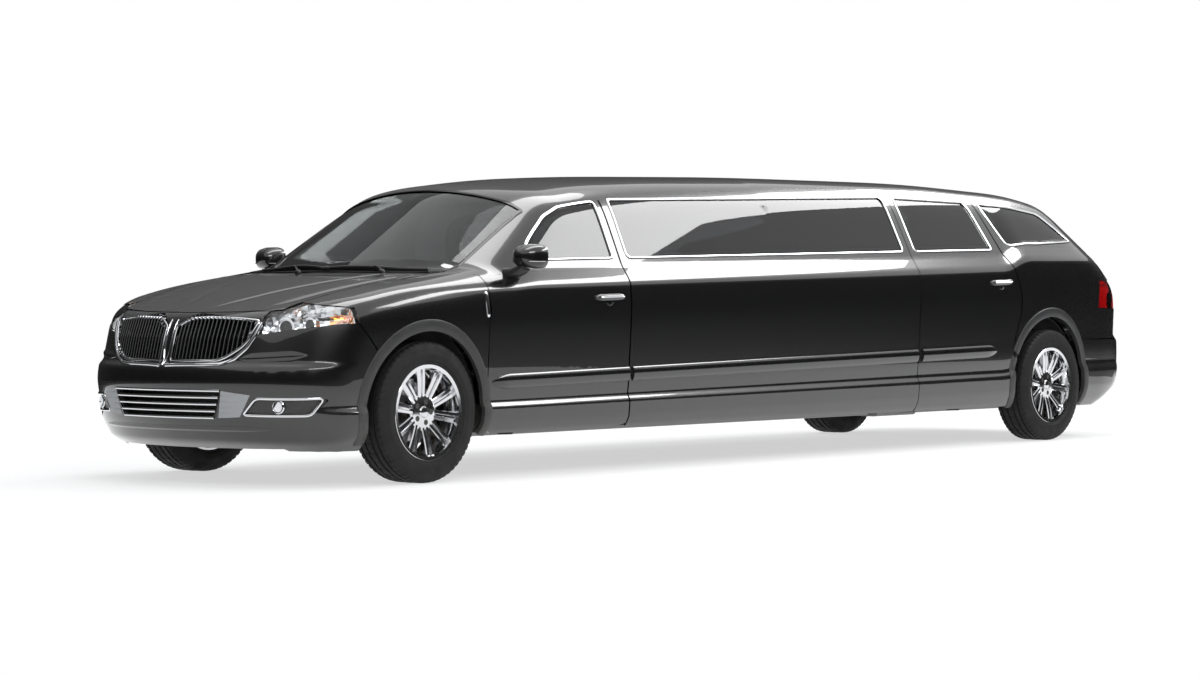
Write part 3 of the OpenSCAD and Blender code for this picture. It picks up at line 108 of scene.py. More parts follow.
def add(tree, kind, **inputs):
    """A node with its sockets set by name, or by number as i0, i1 and so on."""
    n = tree.nodes.new(kind)
    for key, value in inputs.items():
        numbered = key[0] == "i" and key[1:].isdigit()
        set_socket(tree, n.inputs[int(key[1:]) if numbered else key.replace("_", " ")], value)
    return n


def math_node(tree, operation, a, b=0.0, clamp=False):
    n = add(tree, "ShaderNodeMath", i0=a, i1=b)
    n.operation, n.use_clamp = operation, clamp
    return n.outputs[0]


def object_place(tree):
    return tree.nodes.new("ShaderNodeTexCoord").outputs["Object"]


def seen_directly(tree):
    """1 for rays that look at the backdrop: straight, in a mirror or through glass."""
    path = tree.nodes.new("ShaderNodeLightPath")
    two = math_node(tree, "MAXIMUM", path.outputs["Is Camera Ray"], path.outputs["Is Glossy Ray"])
    return math_node(tree, "MAXIMUM", two, path.outputs["Is Transmission Ray"])


world = bpy.data.worlds.new("studio")
scene.world = world
tree = node_tree(world)
lit = add(tree, "ShaderNodeBackground", Color=(0.93, 0.96, 1.0, 1), Strength=0.62)
white = add(tree, "ShaderNodeBackground", Color=(1, 1, 1, 1), Strength=1.0)
mix = add(tree, "ShaderNodeMixShader", i0=seen_directly(tree), i1=lit.outputs[0], i2=white.outputs[0])
out = tree.nodes.new("ShaderNodeOutputWorld")
tree.links.new(mix.outputs[0], out.inputs["Surface"])

pale = bpy.data.materials.new("pale_floor")
tree = node_tree(pale)
matt = add(tree, "ShaderNodeBsdfDiffuse", Color=(0.86, 0.86, 0.86, 1))
glow = add(tree, "ShaderNodeEmission", Color=(1, 1, 1, 1), Strength=1.0)
distance = add(tree, "ShaderNodeVectorMath", i0=object_place(tree))
distance.operation = "LENGTH"
far = add(tree, "ShaderNodeMapRange", Value=distance.outputs["Value"], From_Min=5.5, From_Max=12.0,
          To_Min=0.60, To_Max=1.0)
far.interpolation_type = "SMOOTHSTEP"
share = math_node(tree, "MULTIPLY", seen_directly(tree), far.outputs[0])
mix = add(tree, "ShaderNodeMixShader", i0=share, i1=matt.outputs[0], i2=glow.outputs[0])
out = tree.nodes.new("ShaderNodeOutputMaterial")
tree.links.new(mix.outputs[0], out.inputs["Surface"])


def mesh_object(name, points, faces, material=None, smooth=False):
    data = bpy.data.meshes.new(name)
    data.from_pydata([tuple(map(float, p)) for p in points], [], [tuple(map(int, f)) for f in faces])
    if smooth:
        data.polygons.foreach_set("use_smooth", [True] * len(data.polygons))
    data.update()
    if material:
        data.materials.append(material)
    return put(name, data)


def circle(count):
    """Angles round a circle."""
    return np.linspace(0, 2 * math.pi, count, endpoint=False)


SIDES, FLOOR_RADIUS = 96, 90
turn = circle(SIDES)
ring = np.stack([np.cos(turn), np.sin(turn), 0 * turn], 1)
floor = mesh_object("floor", ring * FLOOR_RADIUS, [range(SIDES)], pale)
print("floor:", round(floor.dimensions.x), "m across")

# %% Dark screen and soft lamps
SCREEN = (11.0, 4.8)
LEFT_TOP, RIGHT_TOP = 2.6, 6.5
dark = bpy.data.materials.new("screen_cloth")
tree = node_tree(dark)
height = add(tree, "ShaderNodeSeparateXYZ", Vector=object_place(tree)).outputs["Z"]
fade = add(tree, "ShaderNodeMapRange", Value=height, From_Min=0.2, From_Max=RIGHT_TOP, To_Min=0.02,
           To_Max=0.20)
fade.interpolation_type = "SMOOTHSTEP"
glow = add(tree, "ShaderNodeEmission", Strength=fade.outputs[0])
out = tree.nodes.new("ShaderNodeOutputMaterial")
tree.links.new(glow.outputs[0], out.inputs["Surface"])
low = ring * (*SCREEN, 0)
high = low.copy()
high[:, 2] = LEFT_TOP + (RIGHT_TOP - LEFT_TOP) * (0.5 - 0.5 * np.sin(turn)) ** 1.5
screen = mesh_object("dark_screen", np.vstack([low, high]),
                     [(i, (i + 1) % SIDES, SIDES + (i + 1) % SIDES, SIDES + i) for i in range(SIDES)], dark)
for ray in ("camera", "diffuse", "shadow", "transmission"):
    setattr(screen, "visible_" + ray, False)


def soft_lamp(name, place, target, size, watts):
    data = bpy.data.lights.new(name, "AREA")
    data.shape, data.size, data.size_y, data.energy = "RECTANGLE", size[0], size[1], watts
    lamp = put(name, data)
    lamp.location = place
    lamp.rotation_euler = (Vector(target) - Vector(place)).to_track_quat("-Z", "Y").to_euler()
    lamp.visible_camera = False
    return lamp


soft_lamp("roof_box", (0, 0, 8.0), (0, 0, 0), (10, 3.0), 420)
soft_lamp("left_strip", (-8.5, 4.6, 8.0), (-1.0, 0, 1.0), (17, 2.2), 1100)
soft_lamp("left_box", (7.0, 9.0, 5.5), (1.0, 0, 0.6), (6, 2.5), 380)
soft_lamp("right_box", (-3, -9.5, 6.0), (0, 0, 0.6), (8, 2.5), 300)

# %% [markdown]
# ## Shared effects
# Real finishes are never even: dust gathers low on the body, plastics have a fine grain, leather has
# pores, whose creases are coloured darker as painted shade, and metal has faint polishing marks. Each effect
# is one shader node group with named sockets, built once and placed in every material that needs it with
# its own values. A group only puts out colours, masks and heights, so the Principled shader stays in the
# material, where an export can find it.

# %% Group maker and the road dust group
def new_group(name, inputs, outputs):
    group = bpy.data.node_groups.new(name, "ShaderNodeTree")
    kinds = {"color": "NodeSocketColor", "value": "NodeSocketFloat", "vector": "NodeSocketVector"}
    for label, kind, default in inputs:
        socket = group.interface.new_socket(name=label, in_out="INPUT", socket_type=kinds[kind])
        socket.default_value = default
    for label, kind in outputs:
        group.interface.new_socket(name=label, in_out="OUTPUT", socket_type=kinds[kind])
    return group, group.nodes.new("NodeGroupInput"), group.nodes.new("NodeGroupOutput")


def put_out(group, g_out, **sockets):
    for label, socket in sockets.items():
        group.links.new(socket, g_out.inputs[label])


def mix_colour(tree, factor, a, b):
    n = tree.nodes.new("ShaderNodeMix")
    n.data_type = "RGBA"
    for k, value in ((0, factor), (6, a), (7, b)):
        set_socket(tree, n.inputs[k], value)
    return n.outputs[2]


dust_group, g_in, g_out = new_group(
    "road_dust",
    [("Clean", "color", (0.01, 0.01, 0.01, 1)), ("Dust", "color", (0.30, 0.28, 0.25, 1)),
     ("Amount", "value", 0.1), ("Top", "value", 0.6)],
    [("Color", "color"), ("Mask", "value")])
spot = object_place(dust_group)
height = add(dust_group, "ShaderNodeSeparateXYZ", Vector=spot).outputs["Z"]
low = add(dust_group, "ShaderNodeMapRange", Value=height, From_Min=0.1, From_Max=g_in.outputs["Top"],
          To_Min=1.0, To_Max=0.0).outputs[0]
cloud = add(dust_group, "ShaderNodeTexNoise", Vector=spot, Scale=9.0, Detail=6.0,
            Roughness=0.65).outputs["Fac"]
speck = add(dust_group, "ShaderNodeTexNoise", Vector=spot, Scale=160.0, Detail=2.0).outputs["Fac"]
patch = math_node(dust_group, "MULTIPLY", cloud, speck)
mask = math_node(dust_group, "MULTIPLY", math_node(dust_group, "MULTIPLY", low, patch),
                 math_node(dust_group, "MULTIPLY", g_in.outputs["Amount"], 4.0), clamp=True)
tint = mix_colour(dust_group, mask, g_in.outputs["Clean"], g_in.outputs["Dust"])
put_out(dust_group, g_out, Color=tint, Mask=mask)
print("group:", dust_group.name)

# %% Grain, leather pores with painted crease shade, and polishing marks
grain_group, g_in, g_out = new_group(
    "fine_grain", [("Scale", "value", 900.0), ("Low", "value", 0.3), ("High", "value", 0.5)],
    [("Height", "value"), ("Roughness", "value"), ("Shade", "value")])
spot = object_place(grain_group)
small = add(grain_group, "ShaderNodeTexNoise", Vector=spot, Scale=g_in.outputs["Scale"],
            Detail=3.0).outputs["Fac"]
broad = add(grain_group, "ShaderNodeTexNoise", Vector=spot, Scale=14.0, Detail=4.0).outputs["Fac"]
rough = add(grain_group, "ShaderNodeMapRange", Value=broad, From_Min=0.3, From_Max=0.7,
            To_Min=g_in.outputs["Low"], To_Max=g_in.outputs["High"]).outputs[0]
put_out(grain_group, g_out, Height=small, Roughness=rough, Shade=broad)

pore_and_shade_group, g_in, g_out = new_group(
    "leather_pores_and_crease_shade", [("Scale", "value", 420.0), ("Hide", "color", (0.05, 0.05, 0.05, 1)),
                      ("Crease", "color", (0.02, 0.02, 0.02, 1))],
    [("Color", "color"), ("Height", "value"), ("Roughness", "value")])
spot = object_place(pore_and_shade_group)
cells = add(pore_and_shade_group, "ShaderNodeTexVoronoi", Vector=spot, Scale=g_in.outputs["Scale"])
cells.feature = "DISTANCE_TO_EDGE"
wave = add(pore_and_shade_group, "ShaderNodeTexNoise", Vector=spot, Scale=22.0, Detail=5.0).outputs["Fac"]
edge = add(pore_and_shade_group, "ShaderNodeMapRange", Value=cells.outputs["Distance"], From_Min=0.0,
           From_Max=0.25).outputs[0]
# Painted shade: the darker crease colour fills the edges of the grain cells, and the noise adds random tone.
shade = math_node(pore_and_shade_group, "MULTIPLY", edge, wave)
hide = mix_colour(pore_and_shade_group, shade, g_in.outputs["Crease"], g_in.outputs["Hide"])
relief = math_node(pore_and_shade_group, "ADD", edge, math_node(pore_and_shade_group, "MULTIPLY", wave, 0.6))
rough = add(pore_and_shade_group, "ShaderNodeMapRange", Value=wave, To_Min=0.38, To_Max=0.58).outputs[0]
put_out(pore_and_shade_group, g_out, Color=hide, Height=relief, Roughness=rough)

polish_group, g_in, g_out = new_group(
    "polish_marks", [("Scale", "value", 60.0), ("Low", "value", 0.05), ("High", "value", 0.12)],
    [("Roughness", "value"), ("Height", "value")])
stretch = add(polish_group, "ShaderNodeMapping", Vector=object_place(polish_group), Scale=(1.0, 1.0, 14.0))
marks = add(polish_group, "ShaderNodeTexNoise", Vector=stretch.outputs[0], Scale=g_in.outputs["Scale"],
            Detail=5.0).outputs["Fac"]
rough = add(polish_group, "ShaderNodeMapRange", Value=marks, From_Min=0.3, From_Max=0.7,
            To_Min=g_in.outputs["Low"], To_Max=g_in.outputs["High"]).outputs[0]
put_out(polish_group, g_out, Roughness=rough, Height=marks)
print("groups:", [g.name for g in bpy.data.node_groups])

# %% [markdown]
# ## Finishes
# The car is gloss black with bright metal. Paint is a dark base under a clear coat; chrome is a metal with
# a very low roughness; the tinted panes are real glass whose colour takes most of the light away. Each
# finish below places the groups above with its own values, so no surface is one flat colour.

# %% Material maker
def finish(name, **constants):
    material = bpy.data.materials.new(name)
    tree = node_tree(material)
    shader = tree.nodes.new("ShaderNodeBsdfPrincipled")
    out = tree.nodes.new("ShaderNodeOutputMaterial")
    tree.links.new(shader.outputs[0], out.inputs["Surface"])
    for key, value in constants.items():
        shader.inputs[key.replace("_", " ")].default_value = value
    return material, tree, shader


def place_group(tree, group, **values):
    n = tree.nodes.new("ShaderNodeGroup")
    n.node_tree = group
    for key, value in values.items():
        n.inputs[key].default_value = value
    return n


def feed(tree, shader, group, *labels):
    """A placed group's outputs go to the shader's inputs of the same name, Color to Base Color."""
    for label in labels:
        tree.links.new(group.outputs[label], shader.inputs["Base Color" if label == "Color" else label])


def bump(tree, shader, height, strength, distance):
    n = add(tree, "ShaderNodeBump", Strength=strength, Distance=distance, Height=height)
    tree.links.new(n.outputs[0], shader.inputs["Normal"])


def dusty(tree, shader, group, low, span):
    """Dust dulls a finish as well as colouring it."""
    feed(tree, shader, group, "Color")
    dull = math_node(tree, "MULTIPLY_ADD", group.outputs["Mask"], span)
    dull.node.inputs[2].default_value = low
    tree.links.new(dull, shader.inputs["Roughness"])


# %% Paint, chrome and plastics
paint, tree, shader = finish("black_paint", Coat_Weight=1.0, Coat_Roughness=0.015, Coat_IOR=1.52,
                             Specular_IOR_Level=0.4)
dust = place_group(tree, dust_group, Clean=(0.0035, 0.0036, 0.004, 1), Amount=0.05, Top=0.55)
dusty(tree, shader, dust, 0.22, 0.5)

chrome, tree, shader = finish("bright_chrome", Metallic=1.0, Base_Color=(0.80, 0.81, 0.83, 1))
marks = place_group(tree, polish_group, Scale=35.0, Low=0.035, High=0.085)
feed(tree, shader, marks, "Roughness")

rim_metal, tree, shader = finish("wheel_chrome", Metallic=1.0)
dust = place_group(tree, dust_group, Clean=(0.74, 0.75, 0.77, 1), Dust=(0.30, 0.27, 0.24, 1), Amount=0.16,
                   Top=0.75)
dusty(tree, shader, dust, 0.07, 0.5)


def plastic(name, colour, low, high, scale=1400.0, strength=0.25):
    material, tree, shader = finish(name)
    dust = place_group(tree, dust_group, Clean=colour, Amount=0.12, Top=0.9)
    grain = place_group(tree, grain_group, Scale=scale, Low=low, High=high)
    feed(tree, shader, dust, "Color")
    feed(tree, shader, grain, "Roughness")
    bump(tree, shader, grain.outputs["Height"], strength, 0.0004)
    return material


trim = plastic("satin_black_trim", (0.012, 0.012, 0.013, 1), 0.30, 0.46)
flare_grey = plastic("dark_grey_flare", (0.017, 0.0175, 0.0185, 1), 0.38, 0.54, 900.0, 0.35)
liner = plastic("matt_liner", (0.010, 0.010, 0.010, 1), 0.60, 0.80, 500.0, 0.5)
gloss_black = plastic("gloss_black_panel", (0.006, 0.006, 0.006, 1), 0.06, 0.12, 300.0, 0.02)
plate_grey = plastic("grey_plate", (0.30, 0.31, 0.32, 1), 0.35, 0.5)
print("paint and plastics ready")

# %% Rubber, metals, leather and carpet
rubber, tree, shader = finish("tyre_rubber", Specular_IOR_Level=0.28)
dust = place_group(tree, dust_group, Clean=(0.0065, 0.0065, 0.0068, 1), Dust=(0.06, 0.057, 0.050, 1),
                   Amount=0.08, Top=0.9)
grain = place_group(tree, grain_group, Scale=700.0, Low=0.55, High=0.78)
feed(tree, shader, dust, "Color")
feed(tree, shader, grain, "Roughness")
bump(tree, shader, grain.outputs["Height"], 0.3, 0.0006)


def bare_metal(name, colour, low, high, dust_amount):
    material, tree, shader = finish(name, Metallic=1.0)
    dust = place_group(tree, dust_group, Clean=colour, Dust=(0.12, 0.09, 0.06, 1), Amount=dust_amount,
                       Top=1.2)
    marks = place_group(tree, polish_group, Scale=90.0, Low=low, High=high)
    feed(tree, shader, dust, "Color")
    feed(tree, shader, marks, "Roughness")
    bump(tree, shader, marks.outputs["Height"], 0.15, 0.0004)
    return material


steel = bare_metal("worked_steel", (0.32, 0.32, 0.33, 1), 0.28, 0.45, 0.3)
iron = bare_metal("cast_iron", (0.09, 0.088, 0.086, 1), 0.45, 0.70, 0.5)


def leather_finish(name, hide, crease):
    material, tree, shader = finish(name, Sheen_Weight=0.08)
    pores_and_shade = place_group(tree, pore_and_shade_group, Scale=420.0, Hide=hide, Crease=crease)
    feed(tree, shader, pores_and_shade, "Color", "Roughness")
    bump(tree, shader, pores_and_shade.outputs["Height"], 0.35, 0.0008)
    return material


# The second colour is painted shade, laid in the creases between the grain cells.
leather = leather_finish("black_leather", (0.035, 0.033, 0.032, 1), (0.012, 0.011, 0.011, 1))
carpet = plastic("loop_carpet", (0.020, 0.019, 0.019, 1), 0.85, 0.98, 260.0, 1.0)
print("rubber, metals, leather and carpet ready")

# %% Glass and lenses
def glazing(name, colour, roughness=0.0, ior=1.45):
    material, tree, shader = finish(name, Base_Color=colour, IOR=ior, Transmission_Weight=1.0)
    film = place_group(tree, grain_group, Scale=40.0, Low=roughness, High=roughness + 0.02)
    feed(tree, shader, film, "Roughness")
    return material


privacy_glass = glazing("privacy_glass", (0.030, 0.033, 0.036, 1))
screen_glass = glazing("screen_glass", (0.26, 0.28, 0.28, 1))
clear_lens = glazing("clear_lens", (0.93, 0.94, 0.95, 1), 0.0, 1.40)
red_lens = glazing("red_lens", (0.55, 0.010, 0.012, 1), 0.03)
amber_lens = glazing("amber_lens", (0.95, 0.30, 0.02, 1), 0.04)
reflector, tree, shader = finish("lamp_reflector", Metallic=1.0, Base_Color=(0.86, 0.87, 0.88, 1))
marks = place_group(tree, polish_group, Scale=20.0, Low=0.04, High=0.16)
feed(tree, shader, marks, "Roughness")
print("finishes:", len(bpy.data.materials))

# %% [markdown]
# ## The body's surface as a formula
# The outer panels of the car are all cut from one surface: a side section, a plan line, a roof line, a nose
# and a tail, blended with rounded edges. Written as a formula it gives a smooth normal at any point, which
# matters more than anything else on black paint. The solids are coarse facets of the same surface, so the
# panels are copied, cut finer, pulled onto the formula and shaded with its own normals.

# %% Rounded lines
HALF_W, HEIGHT, BELT = 0.965, 1.712, 1.120
FRONT, REAR = 1.020, 1.258
FRONT_AXLE, REAR_AXLE = 3.1405, -2.9025
TYRE_R = 0.3705
ROOF_RISE = HEIGHT - BELT


def soft(u, w):
    """0 below, u above, and a smooth bend of width 2 w between."""
    w = max(w, 1e-9)
    bend = np.power(np.clip(u + w, 0, 2 * w), 3) * (3 * w - np.clip(u, -w, w)) / (16 * w ** 3)
    return np.where(u >= w, u, bend)


def rounded_line(rows):
    """A line through rows of (place, value, rounding) with rounded corners, as a function."""
    p = np.array(rows, float)
    slope = np.diff(p[:, 1]) / np.diff(p[:, 0])

    def value(s):
        total = p[0, 1] + slope[0] * (s - p[0, 0])
        for i in range(1, len(p) - 1):
            total = total + (slope[i] - slope[i - 1]) * soft(s - p[i, 0], p[i, 2])
        return total

    return value


def from_front(rows, size, base=0.0):
    """Rows in shares of the front overhang, as places in metres."""
    return [(FRONT_AXLE + a * FRONT, base + b * size, c * FRONT) for a, b, c in rows]


def from_rear(rows, size, base=0.0):
    return [(REAR_AXLE - a * REAR, base + b * size, c * REAR) for a, b, c in rows]


def smooth_max(a, b, r):
    h = np.maximum(r - np.abs(a - b), 0) / r
    return np.maximum(a, b) + r * h ** 3 / 6


# %% The body's lines
side_line = rounded_line([(a * BELT, b * HALF_W, c * BELT) for a, b, c in (
    (0.170, 0.120, 0), (0.225, 0.046, 0.020), (0.265, 0.022, 0.020), (0.340, 0.015, 0.012),
    (0.366, 0.034, 0.012), (0.420, 0.026, 0.030), (0.800, 0, 0.120), (0.915, 0.010, 0.035),
    (1.000, 0.078, 0.016), (1 + 0.8135 * ROOF_RISE / BELT, 0.285, 0))])
plan_line = rounded_line(
    from_rear([(1.00, 0.170, 0), (0.62, 0.055, 0.12), (0.10, 0.006, 0.25), (-0.50, 0, 0.30)], HALF_W)
    + from_front([(-0.60, 0, 0.30), (0.10, 0.006, 0.25), (0.55, 0.050, 0.20), (1.00, 0.160, 0)], HALF_W))
belt_lift = rounded_line(
    from_rear([(0.20, 0.304, 0), (-0.27, 0.304, 0.10), (-0.42, 0.186, 0.08)], ROOF_RISE)
    + from_front([(-0.50, 0, 0.40), (0.50, 0, 0)], ROOF_RISE))
cabin_line = rounded_line(
    from_rear([(1.05, -0.14, 0), (0.89, 0.08, 0.05), (0.36, 0.84, 0.10), (0.08, 0.935, 0.22),
               (-0.75, 1.00, 0.35)], ROOF_RISE, BELT)
    + from_front([(-3.30, 0.985, 0.60), (-2.00, 0.930, 0.40), (-1.45, 0.880, 0.25), (-0.95, 0.785, 0.16),
                  (-0.10, -0.045, 0)], ROOF_RISE, BELT))
hood_line = rounded_line(from_front([(-0.80, 1.070, 0), (0.30, 0.930, 0.40), (0.90, 0.780, 0.06),
                                     (1.00, 0.700, 0)], BELT))
nose_line = rounded_line([(a * BELT, b * FRONT, c * BELT) for a, b, c in (
    (0.160, 0.800, 0), (0.205, 0.905, 0.020), (0.290, 0.965, 0.030), (0.480, 1.003, 0.050),
    (0.545, 0.990, 0.012), (0.570, 0.958, 0.012), (0.790, 0.900, 0.050), (0.950, 0.720, 0))])
tail_line = rounded_line([(a * BELT, b * REAR, c * BELT) for a, b, c in (
    (0.200, 0.740, 0), (0.300, 0.930, 0.030), (0.340, 0.965, 0.030), (0.470, 1.003, 0.050),
    (0.585, 0.985, 0.015), (0.620, 0.930, 0.015), (0.900, 0.935, 0.050), (0.985, 0.920, 0.030),
    (1.060, 0.820, 0))])
print("roof height amidships:", round(float(cabin_line(np.array(0.0))), 3))

# %% The body field and its gradient
LIFT_LOW, LIFT_HIGH = 0.20 * BELT, 0.50 * BELT
SCREEN_BOW, TAIL_BOW = 0.350, 0.300
SIDE_ROUND, END_ROUND = 0.200, 0.130


def level_of(x, z):
    lift = belt_lift(x)
    mid = LIFT_LOW + (z - LIFT_LOW) * (LIFT_HIGH - LIFT_LOW) / (LIFT_HIGH - LIFT_LOW + lift)
    high = BELT + (z - BELT - lift) * ROOF_RISE / (ROOF_RISE - lift)
    return np.where(z <= LIFT_LOW, z,
                    np.where(z <= LIFT_HIGH + lift, mid, np.where(z <= BELT + lift, z - lift, high)))


def side_half(x, z):
    return HALF_W - side_line(level_of(x, z)) - plan_line(x)


def top_z(x, y):
    t = (y / HALF_W) ** 2
    cabin = cabin_line(x + np.where(x > 0, SCREEN_BOW, -TAIL_BOW) * t) - 0.169 * ROOF_RISE * t
    return np.where(x > 0, smooth_max(cabin, hood_line(x) - 0.040 * t, 0.040), cabin)


def nose_x(y, z):
    t = np.abs(y) / HALF_W
    prow = np.sqrt(t * t + 0.04 ** 2) - 0.04
    return FRONT_AXLE + nose_line(z) - FRONT * (0.03 * prow + 0.20 * t ** 2 + 0.23 * t ** 4)


def tail_x(y, z):
    t = np.abs(y) / HALF_W
    return REAR_AXLE - tail_line(z) + REAR * (0.09 * t ** 2 + 0.12 * t ** 4)


def body_field(p):
    """Below 0 inside the body, about the distance in metres near its skin."""
    x, y, z = p[:, 0], np.abs(p[:, 1]), p[:, 2]
    shell = smooth_max(y - side_half(x, z), 0.9 * (z - top_z(x, y)), SIDE_ROUND)
    return smooth_max(shell, np.where(x > 0, x - nose_x(y, z), tail_x(y, z) - x), END_ROUND)


def body_gradient(p, step=0.0015):
    g = np.stack([body_field(p + step * e) - body_field(p - step * e) for e in np.eye(3)], 1)
    return g / (2 * step)


def unit(v):
    return v / np.maximum(np.linalg.norm(v, axis=-1, keepdims=True), 1e-12)


def onto_skin(p, lift=0.0, rounds=3):
    """Points pulled along the gradient until they stand lift off the skin."""
    p = np.array(p, float)
    for _ in range(rounds):
        g = body_gradient(p)
        p -= ((body_field(p) - lift) / np.maximum((g * g).sum(1), 1e-9))[:, None] * g
    return p


print("field at the roof's middle:", round(float(body_field(np.array([[0, 0, HEIGHT]]))[0]), 4))

# %% Finer panels
CREASES = [(0.300, 0.545, 0.007), (0.605, 0.700, 0.006), (0.880, 1.330, 0.013)]
FITTED = ("front_door_left", "front_door_right", "rear_door_left", "rear_door_right", "stretch_panels")
PIN_ROOM, PROUD = 0.016, 0.003
SHORTEST, STRAIGHT, MOST_FACES = 0.009, 0.975, 40000


def mark_skin(bm, node, sink, reach):
    """Faces within reach below the skin are marked as skin, but not the hood's hinge barrels. A handle,
    mirror or moulding that stands proud is cut off: it gets a piece of its own later."""
    mark = bm.faces.layers.int.new("skin")
    bm.faces.ensure_lookup_table()
    middles = np.array([f.calc_center_median() for f in bm.faces])
    normals = np.array([f.normal for f in bm.faces])
    depth = body_field(middles) + sink
    facing = (normals * unit(body_gradient(middles))).sum(1)
    for f, d, c in zip(bm.faces, depth, facing):
        f[mark] = int(d > -reach and c > 0.5)
    if node == "hood":
        pin = pivots["hood_hinge"]
        for f, m in zip(bm.faces, middles):
            if math.hypot(m[0] - pin[0], m[2] - pin[2]) < PIN_ROOM:
                f[mark] = 0
    proud = [f for f, d in zip(bm.faces, depth) if d > PROUD and node in FITTED]
    if proud:
        bmesh.ops.delete(bm, geom=proud, context="FACES")
        filled = bmesh.ops.holes_fill(bm, edges=[e for e in bm.edges if e.is_boundary], sides=0)["faces"]
        for f in bmesh.ops.triangulate(bm, faces=filled)["faces"]:
            f[mark] = 1
    return mark


def slice_rows(bm, mark):
    """Level cuts through the skin where creases run, so that points lie in rows along them."""
    heights = [v.co.z for f in bm.faces if f[mark] for v in f.verts]
    low, high = min(heights), max(heights)
    for z0, z1, step in CREASES:
        for z in np.arange(z0, z1, step):
            if low < z < high:
                bmesh.ops.bisect_plane(bm, geom=bm.verts[:] + bm.edges[:] + bm.faces[:], dist=2e-4,
                                       plane_co=(0, 0, z), plane_no=(0, 0, 1))
    bmesh.ops.triangulate(bm, faces=[f for f in bm.faces if len(f.verts) > 3])


def cut_finer(bm, mark, sink, longest):
    """Skin edges are halved until they are short, and shorter still where the surface bends."""
    for _ in range(8):
        open_edges = [e for e in bm.edges if any(f[mark] for f in e.link_faces)]
        ends = onto_skin([v.co for e in open_edges for v in e.verts], -sink, 1)
        turn = unit(body_gradient(ends)).reshape(-1, 2, 3)
        bend = (turn[:, 0] * turn[:, 1]).sum(1)
        length = np.array([e.calc_length() for e in open_edges])
        coarse = (length > longest) | ((bend < STRAIGHT) & (length > SHORTEST))
        if not coarse.any() or len(bm.faces) > MOST_FACES:
            break
        bmesh.ops.subdivide_edges(bm, edges=[e for e, c in zip(open_edges, coarse) if c], cuts=1)
        bmesh.ops.triangulate(bm, faces=[f for f in bm.faces if len(f.verts) > 3])


def field_normals(data):
    """Corners on the skin take the field's own normal, the others keep theirs."""
    points = np.empty(len(data.vertices) * 3)
    data.vertices.foreach_get("co", points)
    corner_normals = np.empty(len(data.loops) * 3, np.float32)
    data.corner_normals.foreach_get("vector", corner_normals)
    corner_normals = corner_normals.reshape(-1, 3)
    corner_vertex = np.empty(len(data.loops), np.int64)
    data.loops.foreach_get("vertex_index", corner_vertex)
    on_skin = np.array([d.value for d in data.attributes["skin"].data], bool).repeat(3)
    gradient = unit(body_gradient(points.reshape(-1, 3)))
    corner_normals[on_skin] = gradient[corner_vertex[on_skin]]
    data.normals_split_custom_set(corner_normals)


def refine(node, material, sink=0.0, longest=0.055, rows=False, reach=0.032):
    """A smooth copy of a panel: finer faces, outer points on the field, normals from its gradient."""
    bm = bmesh.new()
    bm.from_mesh(nodes[node].data)
    bmesh.ops.remove_doubles(bm, verts=bm.verts, dist=2e-5)
    bmesh.ops.triangulate(bm, faces=bm.faces)
    mark = mark_skin(bm, node, sink, reach)
    if rows:
        slice_rows(bm, mark)
    cut_finer(bm, mark, sink, longest)
    skin = [v for v in bm.verts if any(f[mark] for f in v.link_faces)]
    for v, p in zip(skin, onto_skin([v.co for v in skin], -sink)):
        v.co = p
    bm.normal_update()
    for e in bm.edges:
        a = [f[mark] for f in e.link_faces]
        e.smooth = len(a) == 2 and a[0] == a[1] and (a[0] == 1 or e.calc_face_angle(3.2) < 0.6)
    data = bpy.data.meshes.new(node + "_skin")
    bm.to_mesh(data)
    bm.free()
    data.polygons.foreach_set("use_smooth", [True] * len(data.polygons))
    data.materials.append(material)
    data.update()
    field_normals(data)
    obj = put(data.name, data)
    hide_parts(node)
    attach(obj, body_of[node])
    return obj


# %% [markdown]
# ## Panels and glass
# Each outer panel of the frame gets its smooth copy. The panels meet at shut lines of a few millimetres,
# which show as fine dark lines on the real car, so the edges of the copies are kept crisp. The panes are
# the same surface, set a few millimetres deeper.

# %% Lay the skins
PANELS = ["fenders", "stretch_panels", "quarters", "roof", "hood", "tailgate", "front_bumper", "rear_bumper",
          "front_door_left", "front_door_right", "rear_door_left", "rear_door_right"]
DARK_PANES = ("side_glass", "front_glass_left", "front_glass_right", "rear_glass_left", "rear_glass_right",
              "tailgate_glass")
PANES = {"windshield": screen_glass, **dict.fromkeys(DARK_PANES, privacy_glass),
         "front_lamps": clear_lens, "tail_lamps": red_lens}
PANE_SINK = 0.005
REACH = {"rear_bumper": 0.075, "hood": 0.012}
skins = {}
for node in PANELS:
    skins[node] = refine(node, paint, rows=node not in ("roof", "hood"), reach=REACH.get(node, 0.032))
for node, glass in PANES.items():
    skins[node] = refine(node, glass, PANE_SINK)
print("skins:", {n: len(o.data.polygons) for n, o in skins.items()})

# %% Finishes of the solids that stay
STAY = {}
for material, names in (
        (liner, "underbody"), (chrome, "grille"), (gloss_black, "bar_cabinet"), (steel, "exhaust"),
        (trim, "cowl lower_grille dashboard partition radiator"),
        (leather, "front_seats cabin_seats steering_wheel"),
        (iron, "engine front_subframe rear_axle knuckle_left knuckle_right"),
        (rim_metal, "wheel_fl wheel_fr wheel_rl wheel_rr"), (rubber, "tyre_fl tyre_fr tyre_rl tyre_rr")):
    STAY.update(dict.fromkeys(names.split(), material))
for node, material in STAY.items():
    data = nodes[node].data
    data.materials.clear()
    data.materials.append(material)
print("finished solids:", len(STAY))

# %% [markdown]
# ## Strips on the side
# Chrome window strips, the lower moulding and the dark arch flares are long strips with one small section,
# pressed or glued onto the panels. Each could be extruded along a curve, but a curve doesn't know which way
# the panel faces. So a strip is swept here: its path is pulled onto the skin, and its section stands on the
# skin's own normal, which keeps it seated however the body bends.

